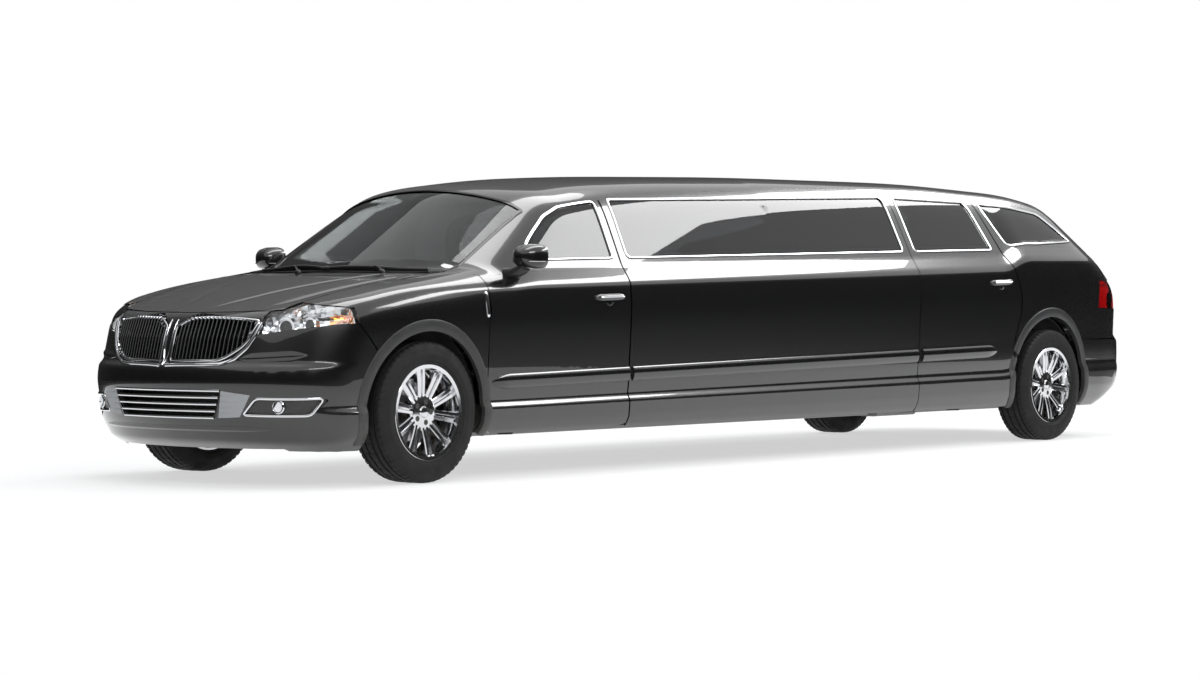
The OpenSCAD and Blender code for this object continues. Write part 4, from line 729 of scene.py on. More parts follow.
# %% Sweeping a section along the skin
def fit(obj, node):
    """The piece moves with the body that carries the node."""
    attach(obj, body_of[node])
    return obj


def mirrored(obj, node):
    """The same piece on the right side of the car."""
    data = obj.data.copy()
    data.transform(Matrix.Diagonal((1, -1, 1, 1)))
    data.flip_normals()
    return fit(put(obj.name.replace("left", "right"), data), node)


def pair(obj, node):
    """The piece on the left, and its twin on the right."""
    fit(obj, node)
    mirrored(obj, node.replace("left", "right"))


def grid_faces(rows, columns, closed=False):
    faces = []
    for i in range(rows if closed else rows - 1):
        a, b = i * columns, (i + 1) % rows * columns
        faces += [(a + j, b + j, b + j + 1, a + j + 1) for j in range(columns - 1)]
    return faces


def face_out(obj):
    """The faces of a piece agree, and look outward."""
    bm = bmesh.new()
    bm.from_mesh(obj.data)
    bmesh.ops.recalc_face_normals(bm, faces=bm.faces)
    bm.to_mesh(obj.data)
    bm.free()


def soft_edges(obj, degrees=35):
    obj.data.polygons.foreach_set("use_smooth", [True] * len(obj.data.polygons))
    obj.data.set_sharp_from_angle(angle=math.radians(degrees))
    return obj


def sweep(name, path, section, material, closed=False, taper=None):
    """A strip whose section, rows of (across, lift), rides along points on the skin."""
    path = onto_skin(path)
    normal = unit(body_gradient(path))
    if closed:
        along = unit(np.roll(path, -1, 0) - np.roll(path, 1, 0))
    else:
        along = unit(np.gradient(path, axis=0))
    across = unit(np.cross(normal, along))
    size = np.ones(len(path)) if taper is None else taper
    u, h = np.array(section, float).T
    lift = np.where(h > 0, h, 0)[None, :] * size[:, None] + np.where(h > 0, 0, h)[None, :]
    points = (path[:, None] + across[:, None] * u[None, :, None] * size[:, None, None]
              + normal[:, None] * lift[:, :, None])
    faces = grid_faces(len(path), len(u), closed)
    if not closed:
        faces += [tuple(range(len(u))), tuple(range((len(path) - 1) * len(u), len(path) * len(u)))[::-1]]
    obj = mesh_object(name, points.reshape(-1, 3), faces, material)
    face_out(obj)
    return soft_edges(obj)


def evenly(points, step, closed=False):
    """The same line with points a step apart."""
    p = np.asarray(points, float)
    if closed:
        p = np.vstack([p, p[:1]])
    run = np.concatenate([[0], np.cumsum(np.linalg.norm(np.diff(p, axis=0), axis=1))])
    count = max(int(round(run[-1] / step)), 8)
    where = np.linspace(0, run[-1], count + 1)[: -1 if closed else None]
    return np.stack([np.interp(where, run, p[:, k]) for k in range(3)], 1)


def half_round(width, lift, rows=7, root=-0.002):
    """A section like a pressed bead: flat foot, rounded top."""
    t = np.linspace(0, math.pi, rows)
    top = [(-math.cos(a) * width / 2, lift * math.sin(a) ** 0.7) for a in t[1:-1]]
    return [(-width / 2, root)] + top + [(width / 2, root)]


def skin_outlines(obj):
    """Loops of points round the outer face of a pane or panel."""
    bm = bmesh.new()
    bm.from_mesh(obj.data)
    mark = bm.faces.layers.int["skin"]
    nexts = {}
    for e in bm.edges:
        if len(e.link_faces) == 2 and e.link_faces[0][mark] != e.link_faces[1][mark]:
            a, b = e.verts
            nexts.setdefault(a, []).append(b)
            nexts.setdefault(b, []).append(a)
    loops, seen = [], set()
    for start in nexts:
        if start in seen:
            continue
        loop, here, before = [], start, None
        while here not in seen:
            seen.add(here)
            loop.append(tuple(here.co))
            onward = [v for v in nexts[here] if v is not before and v not in seen]
            if not onward:
                break
            before, here = here, onward[0]
        if len(loop) > 12:
            loops.append(np.array(loop))
    bm.free()
    return loops


# %% Window strips
WINDOW_CARRIER = {"front_glass_left": "front_door_left", "front_glass_right": "front_door_right",
                  "rear_glass_left": "rear_door_left", "rear_glass_right": "rear_door_right",
                  "side_glass": "stretch_panels", "windshield": "roof", "tailgate_glass": "tailgate"}
strips = []
for pane, carrier in WINDOW_CARRIER.items():
    black = pane in ("windshield", "tailgate_glass")
    for k, loop in enumerate(skin_outlines(skins[pane])):
        path = evenly(loop, 0.022, closed=True)
        section = half_round(0.022, 0.0025) if black else half_round(0.017, 0.0055)
        piece = sweep(f"{pane}_strip_{k}", path, section, gloss_black if black else chrome, closed=True)
        strips.append(fit(piece, carrier))
print("window strips:", len(strips))

# %% Lower moulding and sill bead
def height_of(x, level):
    """Where a level of the side section lies at x, once the belt has lifted it."""
    lift = belt_lift(x)
    span = LIFT_HIGH - LIFT_LOW
    mid = LIFT_LOW + (level - LIFT_LOW) * (span + lift) / span
    return np.where(level <= LIFT_LOW, level, np.where(level <= LIFT_HIGH, mid, level + lift))


def side_path(x0, x1, level, step=0.05):
    x = np.linspace(x0, x1, max(int(abs(x1 - x0) / step), 6) + 1)
    z = height_of(x, level)
    return np.stack([x, side_half(x, z), z], 1)


FRONT_SHUT, REAR_SHUT = pivots["front_door_left_hinge"][0], pivots["rear_door_left_hinge"][0]
DOOR_LENGTH = 1.180
DOOR_END = FRONT_SHUT - DOOR_LENGTH
MOULDING = 0.4598 * BELT
RUNS = {"front_door": (DOOR_END + 0.018, FRONT_SHUT - 0.036),
        "stretch_panels": (REAR_SHUT + 0.018, DOOR_END - 0.018),
        "rear_door": (REAR_AXLE + 0.53 * REAR, REAR_SHUT - 0.036)}
bead = [(-0.041, -0.003), (-0.040, 0.006), (-0.030, 0.0135), (-0.008, 0.0165), (0.014, 0.0150),
        (0.030, 0.0095), (0.038, 0.0040), (0.041, -0.003)]
for node, (x0, x1) in RUNS.items():
    path = side_path(x0, x1, MOULDING, 0.03)
    end = np.ones(len(path))
    if node == "front_door":
        end = np.clip((path[-1, 0] - path[:, 0]) / 0.10, 0.02, 1) ** 0.45
    if node == "rear_door":
        end = np.clip((path[:, 0] - path[0, 0]) / 0.10, 0.02, 1) ** 0.45
    left = node if node == "stretch_panels" else node + "_left"
    pair(sweep(left + "_moulding_left", path, bead, paint, taper=end), left)
print("mouldings on", list(RUNS))

# %% Arch flares
def arch_path(axle, radius, start, stop, count=60):
    a = np.radians(np.linspace(start, stop, count))
    x, z = axle + radius * np.cos(a), TYRE_R + radius * np.sin(a)
    return np.stack([x, side_half(x, z), z], 1)


flare = [(-0.032, -0.020), (-0.032, 0.004), (-0.024, 0.0085), (0.010, 0.0085), (0.026, 0.0050),
         (0.031, -0.002)]
REAR_SEAM = REAR_AXLE + 0.35 * REAR
FRONT_ARCH, REAR_ARCH = 0.424 + 0.030, 0.456 + 0.030
for name, node, path in (
        ("front_flare_left", "fenders", arch_path(FRONT_AXLE, FRONT_ARCH, -20, 197)),
        ("rear_flare_left", "quarters", arch_path(REAR_AXLE, REAR_ARCH, 27, 197)),
        ("rear_door_flare_left", "rear_door_left", arch_path(REAR_AXLE, REAR_ARCH, -16, 23, 20))):
    pair(sweep(name, path, flare, flare_grey), node)
print("flares: 6")

# %% [markdown]
# ## Mirrors and handles
# A door mirror is a moulded cap with a flat glass at its back, on a short arm. It could be sculpted from a
# cube, but a loft is easier to steer: a few rounded rings of chosen size, stitched from the glass forwards.
# The pull handles are short beads swept along the door, with a bright strip and a finger bowl below.

# %% Lofts
def ring_of(centre, half, axes, power=3.0, count=40):
    """A rounded-rectangle ring; axes are the two directions it lies in."""
    a = circle(count)
    c, s = np.cos(a), np.sin(a)
    u = np.sign(c) * np.abs(c) ** (2 / power) * half[0]
    v = np.sign(s) * np.abs(s) ** (2 / power) * half[1]
    first, second = np.asarray(axes, float)
    return np.asarray(centre) + u[:, None] * first + v[:, None] * second


def loft(name, rings, material, caps=(True, True), degrees=35):
    rings = np.array(rings)
    rows, columns = rings.shape[:2]
    faces = []
    for i in range(rows - 1):
        a, b = i * columns, (i + 1) * columns
        faces += [(a + j, a + (j + 1) % columns, b + (j + 1) % columns, b + j) for j in range(columns)]
    if caps[0]:
        faces.append(tuple(range(columns))[::-1])
    if caps[1]:
        faces.append(tuple(range((rows - 1) * columns, rows * columns)))
    obj = mesh_object(name, rings.reshape(-1, 3), faces, material)
    face_out(obj)
    return soft_edges(obj, degrees)


# %% Door mirrors
MIRROR_X, MIRROR_Z = FRONT_SHUT - 0.27 * DOOR_LENGTH, 1.057 * BELT
X, Y, Z = (1, 0, 0), (0, 1, 0), (0, 0, 1)
MIRROR_ROWS = {
    "cap": (paint, "paint", 1.005, 0, [
        (0.004, 0.078, 0.061, 0), (0, 0.083, 0.066, 0), (0.012, 0.0865, 0.068, 0),
        (0.050, 0.085, 0.067, 0.002), (0.090, 0.075, 0.058, 0.006), (0.118, 0.058, 0.044, 0.012),
        (0.134, 0.034, 0.026, 0.016), (0.139, 0.012, 0.009, 0.018)]),
    "glass": (reflector, "chrome", 1.005, 0, [(0.0035, 0.074, 0.057, 0), (0.0025, 0.072, 0.055, 0)]),
    "strip": (chrome, "chrome", 1.006, -0.026, [
        (0.030, 0.0876, 0.004, 0), (0.060, 0.0850, 0.004, 0.003), (0.094, 0.0750, 0.004, 0.007),
        (0.120, 0.060, 0.003, 0.012)])}
ARM_ROWS = [((0.082, 0.872, 1.092), (0.058, 0.032)), ((0.078, 0.925, 1.098), (0.050, 0.030)),
            ((0.070, 0.965, 1.116), (0.042, 0.027)), ((0.066, 0.990, 1.135), (0.040, 0.024))]
pieces = []
for name, (material, slot, y, lift, rows) in MIRROR_ROWS.items():
    rings = [ring_of((MIRROR_X + x, y - s, MIRROR_Z + lift), (a, b), (Y, Z)) for x, a, b, s in rows]
    pieces.append((loft("left_mirror_" + name, rings, material), slot))
rings = [ring_of((MIRROR_X + x, y, z), half, (X, Z)) for (x, y, z), half in ARM_ROWS]
pieces.append((loft("left_mirror_arm", rings, trim), "trim"))
for piece, slot in pieces:
    pair(piece, "front_door_left")
print("mirror pieces:", 2 * len(pieces))

# %% Pull handles
HANDLE = 0.8435 * BELT
for node, x0 in (("front_door_left", DOOR_END + 0.082), ("rear_door_left", REAR_SEAM + 0.082)):
    path = side_path(x0 - 0.006, x0 + 0.241, HANDLE, 0.008)
    run = np.linspace(-1, 1, len(path))
    end = np.clip(1 - np.abs(run) ** 6, 0.03, 1) ** 0.5
    grip = sweep(node + "_grip", path, half_round(0.038, 0.027), paint, taper=end)
    strip = sweep(node + "_grip_strip", path[3:-3], half_round(0.013, 0.0305), chrome, taper=end[3:-3])
    a = circle(40)
    middle = path[len(path) // 2]
    bowl = [onto_skin(np.stack([middle[0] + r * np.cos(a), 0 * a + middle[1],
                                middle[2] - 0.014 + r * np.sin(a)], 1), h)
            for r, h in ((0.034, 0.0004), (0.030, 0.0016), (0.018, -0.006))]
    cup = loft(node + "_finger_bowl", bowl, gloss_black, caps=(False, True))
    for piece, slot in ((grip, "paint"), (strip, "chrome"), (cup, "paint")):
        pair(piece, node)
print("handles: 4")

# %% [markdown]
# ## Lamps
# A headlamp is a clear shell over a bright bowl with a projector in it. The lens is the skin copy made above.
# Behind it the same outline is pushed deeper and faceted, because flat facets sparkle the way a pressed
# reflector does; the round parts are profiles turned about an axis.

# %% Bowls behind the lenses
def bowl_behind(name, lens, depth, rim, material, ripple):
    """A bowl with the lens's outline: its floor at depth, its wall up to rim, both below the skin."""
    bm = bmesh.new()
    bm.from_mesh(lens.data)
    mark = bm.faces.layers.int["skin"]
    bmesh.ops.delete(bm, geom=[f for f in bm.faces if not f[mark]], context="FACES")
    edge = [e for e in bm.edges if e.is_boundary]
    wall = [v for v in bmesh.ops.extrude_edge_only(bm, edges=edge)["geom"]
            if isinstance(v, bmesh.types.BMVert)]
    rest = [v for v in bm.verts if v not in set(wall)]
    for group, d, r in ((wall, rim, 0.0), (rest, depth, ripple)):
        places = onto_skin([v.co for v in group], -d)
        wave = r * np.sin(places[:, 1] * 190) * np.sin(places[:, 2] * 160)
        places += unit(body_gradient(places)) * wave[:, None]
        for v, p in zip(group, places):
            v.co = p
    bmesh.ops.recalc_face_normals(bm, faces=bm.faces)
    data = bpy.data.meshes.new(name)
    bm.to_mesh(data)
    bm.free()
    data.materials.clear()
    data.materials.append(material)
    data.polygons.foreach_set("use_smooth", [False] * len(data.polygons))
    return put(name, data)


def turned(name, profile, centre, axis, material, count=48):
    """A profile of (radius, along) turned about an axis through the centre."""
    axis = np.asarray(axis, float) / np.linalg.norm(axis)
    side = unit(np.cross(axis, (0, 0, 1)))
    up = np.cross(side, axis)
    a = circle(count)
    turn = np.cos(a)[:, None] * side + np.sin(a)[:, None] * up
    return loft(name, [np.asarray(centre) + axis * h + turn * max(r, 1e-4) for r, h in profile], material,
                degrees=40)


def nose_point(y, z, lift=0.0):
    y, z = np.atleast_1d(np.asarray(y, float)), np.atleast_1d(np.asarray(z, float))
    return onto_skin(np.stack([nose_x(y, z), y, z + 0 * y], 1), lift)


for name, node, depth, rim, ripple in (("head_lamp_bowls", "front_lamps", 0.085, 0.038, 0.006),
                                       ("tail_lamp_bowls", "tail_lamps", 0.060, 0.036, 0.004)):
    fit(bowl_behind(name, skins[node], depth, rim, reflector, ripple), node)
LOOK = (0.94, 0.30, 0.0)
for y, z, r in ((0.655, 0.852, 0.040), (0.760, 0.868, 0.030)):
    eye = nose_point(y, z, -0.078)[0]
    profile = [(r * 1.25, -0.020), (r * 1.25, 0.026), (r * 1.05, 0.030), (r, 0.022)]
    case = turned(f"left_projector_ring_{int(y * 1000)}", profile, eye, LOOK, chrome)
    dome = [(r * math.cos(t), 0.014 + 0.018 * math.sin(t)) for t in np.linspace(0, math.pi / 2, 7)]
    glass = turned(f"left_projector_lens_{int(y * 1000)}", [(r, 0.010)] + dome, eye, LOOK, gloss_black)
    for piece, slot in ((case, "chrome"), (glass, "lamp_clear")):
        pair(piece, "front_lamps")


def skin_patch(name, corners, depth, thick, material, rows=10):
    """A pad under or over the skin between four corners (x, y, z), from depth to depth + thick."""
    c = np.array(corners, float)
    s = np.linspace(0, 1, rows)
    top, low = c[0] + s[:, None] * (c[1] - c[0]), c[3] + s[:, None] * (c[2] - c[3])
    sheet = np.array([low + t * (top - low) for t in s])
    outer = onto_skin(sheet.reshape(-1, 3), -depth, 5)
    inner = onto_skin(sheet.reshape(-1, 3), -depth - thick, 5)
    faces = grid_faces(rows, rows)
    n = rows * rows
    faces += [tuple(n + k for k in f[::-1]) for f in faces]
    index = np.arange(n).reshape(rows, rows)
    rim = [*index[0], *index[1:, -1], *index[-1, -2::-1], *index[-2:0:-1, 0]]
    faces += [(a, b, n + b, n + a) for a, b in zip(rim, rim[1:] + rim[:1])]
    obj = mesh_object(name, np.vstack([outer, inner]), faces, material)
    face_out(obj)
    return soft_edges(obj, 45)


marker = skin_patch("left_amber_marker",
                    [(3.76, 0.842, 0.905), (3.64, 0.905, 0.908), (3.64, 0.905, 0.852), (3.76, 0.842, 0.842)],
                    0.037, 0.020, amber_lens)
pair(marker, "front_lamps")

# %% [markdown]
# ## Nose
# The face of the car is bright trim on black: a lip round each grille wing, thin lines down the prow, bars
# across the lower intake and a frame round each fog lamp. All of it follows the bumper, so the outlines are
# drawn flat, as seen from ahead, and swept on the nose. The hood's ridges are paint beads with a soft edge.

# %% Grille lips, intake bars and fog frames
def rounded_outline(corners, steps=6):
    """A closed line through corners (y, z, setback), each corner a soft curve."""
    c = np.array([k[:2] for k in corners], float)
    line = []
    for i, (_, _, back) in enumerate(corners):
        before, after = unit(c[i - 1] - c[i]), unit(c[(i + 1) % len(c)] - c[i])
        a, b = c[i] + before * back, c[i] + after * back
        t = np.linspace(0, 1, steps)[:, None]
        line.append((1 - t) ** 2 * a + 2 * t * (1 - t) * c[i] + t ** 2 * b)
    return np.vstack(line)


def nose_frame(name, corners, section, material, node):
    line = rounded_outline(corners)
    ring = nose_point(line[:, 0], line[:, 1])
    pair(sweep(name, evenly(ring, 0.012, closed=True), section, material, closed=True), node)


WING = [(0.040, 0.570, 0.008), (0.38, 0.575, 0.062), (0.51, 0.650, 0.052), (0.56, 0.765, 0.020),
        (0.13, 0.790, 0.042), (0.040, 0.735, 0.008)]
FOG = [(0.520, 0.332, 0.022), (0.829, 0.330, 0.022), (0.890, 0.408, 0.022), (0.596, 0.408, 0.022)]
wing = [(a * HALF_W, b * BELT, c * HALF_W) for a, b, c in WING]
fog_edge = [(a * HALF_W, b * BELT, c) for a, b, c in FOG]
nose_frame("left_grille_lip", wing, half_round(0.013, 0.006), chrome, "grille")
nose_frame("left_fog_frame", fog_edge, half_round(0.013, 0.006), chrome, "lower_grille")

BARS = 5
for i in range(BARS):
    z = BELT * (0.318 + 0.124 * i / (BARS - 1))
    y = np.linspace(-1, 1, 61) * HALF_W * (0.352 + 0.055 * i / (BARS - 1))
    bar = sweep(f"intake_bar_{i}", nose_point(y, z + 0 * y), half_round(0.013, 0.007), chrome)
    fit(bar, "lower_grille")

lip_y = HALF_W * np.array([0.030, 0.16, 0.28, 0.385, 0.46, 0.515, 0.552, 0.572])
lip_z = BELT * np.array([0.553, 0.556, 0.557, 0.561, 0.585, 0.632, 0.694, 0.752])
lip = sweep("left_lower_lip", evenly(nose_point(lip_y, lip_z), 0.014), half_round(0.019, 0.009), chrome)
pair(lip, "front_bumper")

line_z = np.linspace(0.553, 0.775, 24) * BELT
line_y = np.interp(line_z, [0.62, 0.70, 0.87], [0.004, 0.020, 0.024])
prow = sweep("left_prow_line", nose_point(line_y, line_z), half_round(0.006, 0.005), chrome)
pair(prow, "front_bumper")

# %% Fog lamps and hood ridges
fog = nose_point(0.675, 0.413, -0.012)[0]
for name, profile, material, slot in (
        ("left_fog_bezel", [(0.036, -0.004), (0.036, 0.006), (0.031, 0.010), (0.027, 0.004)], chrome,
         "chrome"),
        ("left_fog_bowl", [(0.027, 0.003), (0.020, -0.010), (0.001, -0.016)], reflector, "chrome"),
        ("left_fog_lens", [(0.0275, 0.002), (0.0260, 0.006), (0.018, 0.010), (0.001, 0.012)], clear_lens,
         "lamp_clear")):
    pair(turned(name, profile, fog, LOOK, material), "lower_grille")


def both_ends(count, share, least):
    """A taper that falls off over a share of the length at both ends."""
    run = np.linspace(0, 1, count)
    return np.clip(np.minimum(run, run[::-1]) / share, least, 1)


def soft_ridge(width, lift, rows=15):
    u = np.linspace(-width / 2, width / 2, rows)
    return [(a, lift * math.cos(math.pi * a / width) ** 2 + 0.0002) for a in u]


ridge_x = np.linspace(2.985, 3.985, 60)
for name, rows in (("left_hood_ridge", [(2.98, 0.50), (3.40, 0.335), (3.80, 0.165), (3.99, 0.085)]),
                   ("left_hood_edge", [(2.98, 0.665), (3.40, 0.600), (3.75, 0.515), (3.99, 0.440)])):
    y = np.interp(ridge_x, *np.array(rows).T)
    keep = ridge_x < nose_x(y, 0.80 * BELT + 0 * y) - 0.12
    x, y = ridge_x[keep], y[keep]
    fade = both_ends(len(x), 0.14, 0.02)
    ridge = sweep(name, np.stack([x, y, top_z(x, y)], 1), soft_ridge(0.10, 0.0075), paint, taper=fade ** 0.5)
    pair(ridge, "hood")
print("hood ridges: 4")

# %% [markdown]
# ## Wheels
# A cast wheel is a barrel with a star of spokes. The barrel and the tyre are turned profiles. One spoke is
# lofted with a groove down its middle and copied ten times round, so all spokes agree. The tread is cut in
# the turned mesh itself: the ring is fine enough to drop single columns of points into grooves.

# %% Tyres
RIM_R = 0.2415
wheel_places = {"fl": (FRONT_AXLE, 1), "fr": (FRONT_AXLE, -1), "rl": (REAR_AXLE, 1), "rr": (REAR_AXLE, -1)}
TRACK_HALF = 0.833


def tyre_points(steps=240):
    side = [(RIM_R + r, y) for r, y in (
        (0, 0.092), (0.006, 0.104), (0.016, 0.1105), (0.022, 0.1095), (0.026, 0.1140), (0.050, 0.1172),
        (0.070, 0.1165), (0.073, 0.1150), (0.077, 0.1145), (0.095, 0.1105), (0.108, 0.1060))]
    side += [(TYRE_R - r, y) for r, y in (
        (0.011, 0.1010), (0.006, 0.0965), (0.0035, 0.0900), (0.002, 0.0780))]
    tread = [(TYRE_R - r, groove + y) for groove in (0.066, 0.024) for r, y in (
        (0.0012, 0.0060), (0.0085, 0.0045), (0.0085, -0.0045), (0.0008, -0.0060))]
    half = side + tread + [(TYRE_R, 0.008)]
    whole = np.array(half + [(r, -y) for r, y in half[::-1]])
    a = circle(steps)
    radius = np.repeat(whole[None, :, 0], steps, 0)
    shoulder = np.abs(whole[:, 1])[None, :]
    cut = ((np.arange(steps) % 4 == 0)[:, None] & (shoulder > 0.074) & (radius > TYRE_R - 0.012))
    sipe = ((np.arange(steps) % 6 == 2)[:, None] & (shoulder < 0.060) & (radius > TYRE_R - 0.004))
    radius = radius - 0.0055 * cut - 0.0035 * sipe
    across = np.repeat(whole[None, :, 1], steps, 0)
    return np.stack([radius * np.cos(a)[:, None], across, radius * np.sin(a)[:, None]], 2)


def wheel_piece(name, points, material, corner, faces=None, replaced=None, degrees=30):
    """A piece in the wheel's own place, outside towards +Y, set at its corner of the car. Points without
    faces are turned profiles: a grid that closes round the axle."""
    x, side = wheel_places[corner]
    faces = faces or grid_faces(*points.shape[:2], closed=True)
    points = np.asarray(points).reshape(-1, 3) * (1, side, 1) + (x, side * TRACK_HALF, TYRE_R)
    obj = mesh_object(f"{name}_{corner}", points, faces if side < 0 else [f[::-1] for f in faces], material)
    face_out(obj)
    soft_edges(obj, degrees)
    fit(obj, "wheel_" + corner)
    if replaced:
        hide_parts(replaced)
    return obj


tread = tyre_points()
for corner in wheel_places:
    wheel_piece("tyre_cut", tread, rubber, corner, replaced="tyre_" + corner)
print("tyre points:", tread.shape[0] * tread.shape[1])

# %% Cast wheels
def turned_points(profile, steps=96):
    a = circle(steps)
    p = np.array(profile, float)
    r, y = p[None, :, 0], np.repeat(p[None, :, 1], steps, 0)
    return np.stack([r * np.cos(a)[:, None], y, r * np.sin(a)[:, None]], 2)


barrel = [(0.2300, 0.1050), (0.2480, 0.1075), (0.2525, 0.1040), (0.2520, 0.0980), (0.2430, 0.0960),
          (0.2370, 0.0880), (0.2300, 0.0700), (0.2180, 0.0500), (0.2140, 0.0000), (0.2200, -0.0600),
          (0.2370, -0.0880), (0.2520, -0.1000), (0.2525, -0.1060), (0.2400, -0.1060), (0.2180, -0.0640),
          (0.2080, 0.0000), (0.2110, 0.0480), (0.2230, 0.0720), (0.2290, 0.0900), (0.2300, 0.1050)]
hub = [(0.001, 0.0790), (0.020, 0.0785), (0.026, 0.0765), (0.029, 0.0715), (0.031, 0.0700),
       (0.086, 0.0680), (0.096, 0.0630), (0.098, 0.0400), (0.060, 0.0150), (0.001, 0.0150)]
SPOKES = 10


def spoke_star():
    """Ten spokes, each a loft from hub to rim with a groove down its face."""
    along = np.linspace(0, 1, 9)
    reach = 0.078 + along * (0.2310 - 0.078)
    face = 0.0660 + 0.020 * along ** 1.5 + 0.006 * np.sin(along * math.pi)
    width = 0.047 + 0.013 * along
    section = np.array([(-0.50, -0.030), (-0.50, -0.004), (-0.43, 0.0015), (-0.16, 0.0020),
                        (-0.09, -0.0075), (0.09, -0.0075), (0.16, 0.0020), (0.43, 0.0015), (0.50, -0.004),
                        (0.50, -0.030)])
    u, h = section[None, :, 0], section[None, :, 1]
    one = np.stack([reach[:, None] + 0 * u, face[:, None] + h, width[:, None] * u], 2)
    points, faces, n = [], [], len(section)
    for k in range(SPOKES):
        a = (k + 0.25) * 2 * math.pi / SPOKES
        turn = np.array([[math.cos(a), 0, -math.sin(a)], [0, 1, 0], [math.sin(a), 0, math.cos(a)]])
        base = k * one.shape[0] * one.shape[1]
        points.append(one.reshape(-1, 3) @ turn.T)
        faces += [tuple(base + v for v in f) for f in grid_faces(*one.shape[:2])]
        faces += [(base + i * n, base + (i + 1) * n - 1, base + (i + 2) * n - 1, base + (i + 1) * n)
                  for i in range(len(along) - 1)]
        faces += [tuple(base + (len(along) - 1) * n + j for j in range(n))]
    return np.vstack(points), faces


star, star_faces = spoke_star()
disc = [(0.075, -0.010), (0.172, -0.010), (0.173, -0.022), (0.075, -0.022), (0.075, -0.010)]
# Painted shade: each lug hole is a thin matt-black disc lying on the hub face, dark where the hole's shade
# would fall.
LUG = [(0.0150, 0.0670), (0.0146, 0.0699), (0.0130, 0.0702), (0.0110, 0.0695), (0.0001, 0.0694)]
LUGS, LUG_RADIUS, LUG_SIDES = 5, 0.056, 20
lug_points, lug_faces = [], []
for k in range(LUGS):
    a = (k + 0.5) * 2 * math.pi / LUGS
    shade_disc = turned_points(LUG, LUG_SIDES) + (LUG_RADIUS * math.cos(a), 0, LUG_RADIUS * math.sin(a))
    base = k * LUG_SIDES * len(LUG)
    lug_faces += [tuple(base + v for v in f) for f in grid_faces(LUG_SIDES, len(LUG), closed=True)]
    lug_points.append(shade_disc.reshape(-1, 3))
for corner in wheel_places:
    wheel_piece("rim_barrel", turned_points(barrel), rim_metal, corner, replaced="wheel_" + corner)
    wheel_piece("hub_face", turned_points(hub, 64), rim_metal, corner)
    wheel_piece("spokes", star, rim_metal, corner, star_faces, degrees=25)
    # The matt-black lug discs are painted shade for the lug holes.
    wheel_piece("lug_hole_shade_discs", np.vstack(lug_points), liner, corner, lug_faces)
    wheel_piece("brake_disc", turned_points(disc, 72), steel, corner)

# %% [markdown]
# ## Small fittings
# Wipers, the bright bar on the fender, the ribbed plates beside the intake and the red lenses at the tail are
# small, but a car without them looks unfinished. Most are swept on the skin again. The wiper arms leave the
# skin, so they are tubes: a ring of points carried along a line that may go anywhere.

# %% Tubes
def tube(name, path, radius, material, closed=False, count=10):
    """A round bar along any line of points."""
    p = np.asarray(path, float)
    along = unit(np.roll(p, -1, 0) - np.roll(p, 1, 0)) if closed else unit(np.gradient(p, axis=0))
    side = unit(np.cross(along, (0.13, 0.31, 0.94)))
    up = np.cross(side, along)
    a = circle(count)
    r = np.broadcast_to(radius, len(p))[:, None, None]
    ring = np.cos(a)[None, :, None] * side[:, None] + np.sin(a)[None, :, None] * up[:, None]
    rings = p[:, None] + r * ring
    if closed:
        rings = np.concatenate([rings, rings[:1]])
    return loft(name, rings, material, caps=(not closed, not closed))


def screen_point(y, back, lift):
    """A point over the windshield, measured back from its foot."""
    y, back = np.broadcast_arrays(np.asarray(y, float), np.asarray(back, float))
    x = FRONT_AXLE - 0.10 * FRONT - SCREEN_BOW * (y / HALF_W) ** 2 - back
    return onto_skin(np.stack([x, y, top_z(x, y)], 1), lift, 4)


# %% Wipers
BLADE = [(-0.005, -0.006), (-0.004, 0.006), (-0.0085, 0.010), (-0.004, 0.016), (0.004, 0.016),
         (0.0085, 0.010), (0.004, 0.006), (0.005, -0.006)]
WIPER_HUB = [(0.017, -0.012), (0.017, 0.010), (0.013, 0.019), (0.001, 0.022)]
s = np.linspace(0, 1, 26)
for name, hub_y, near, far in (("driver_wiper", 0.46, 0.66, 0.02), ("mate_wiper", -0.10, 0.08, -0.56)):
    y = near + (far - near) * s
    blade = screen_point(y, 0.030 + 0.035 * np.sin(s * math.pi), 0.0)
    fit(sweep(name + "_blade", blade, BLADE, trim), "cowl")
    arm_y = hub_y + ((near + far) / 2 - hub_y) * s
    arm = screen_point(arm_y, -0.034 + 0.098 * s, 0.010 + 0.012 * np.sin(s * math.pi) + 0.006 * s)
    fit(tube(name + "_arm", arm, 0.0065 - 0.0025 * s, trim), "cowl")
    root = screen_point([hub_y], [-0.034], 0.0)[0]
    fit(turned(name + "_hub", WIPER_HUB, root, (0.25, 0, 0.97), trim), "cowl")

# %% Fender bar, intake plates and bumper crease
bar_z = np.linspace(0.862, 1.000, 24)
path = np.stack([2.700 + 0.12 * (bar_z - 0.862), side_half(2.71 + 0 * bar_z, bar_z), bar_z], 1)
end = np.clip(1 - np.abs(np.linspace(-1, 1, 24)) ** 12, 0.3, 1) ** 0.5
pair(sweep("left_fender_bar", path, half_round(0.024, 0.007), chrome, taper=end), "fenders")


def nose_corners(rows):
    return [tuple(nose_point(y, z)[0]) for y, z in rows]


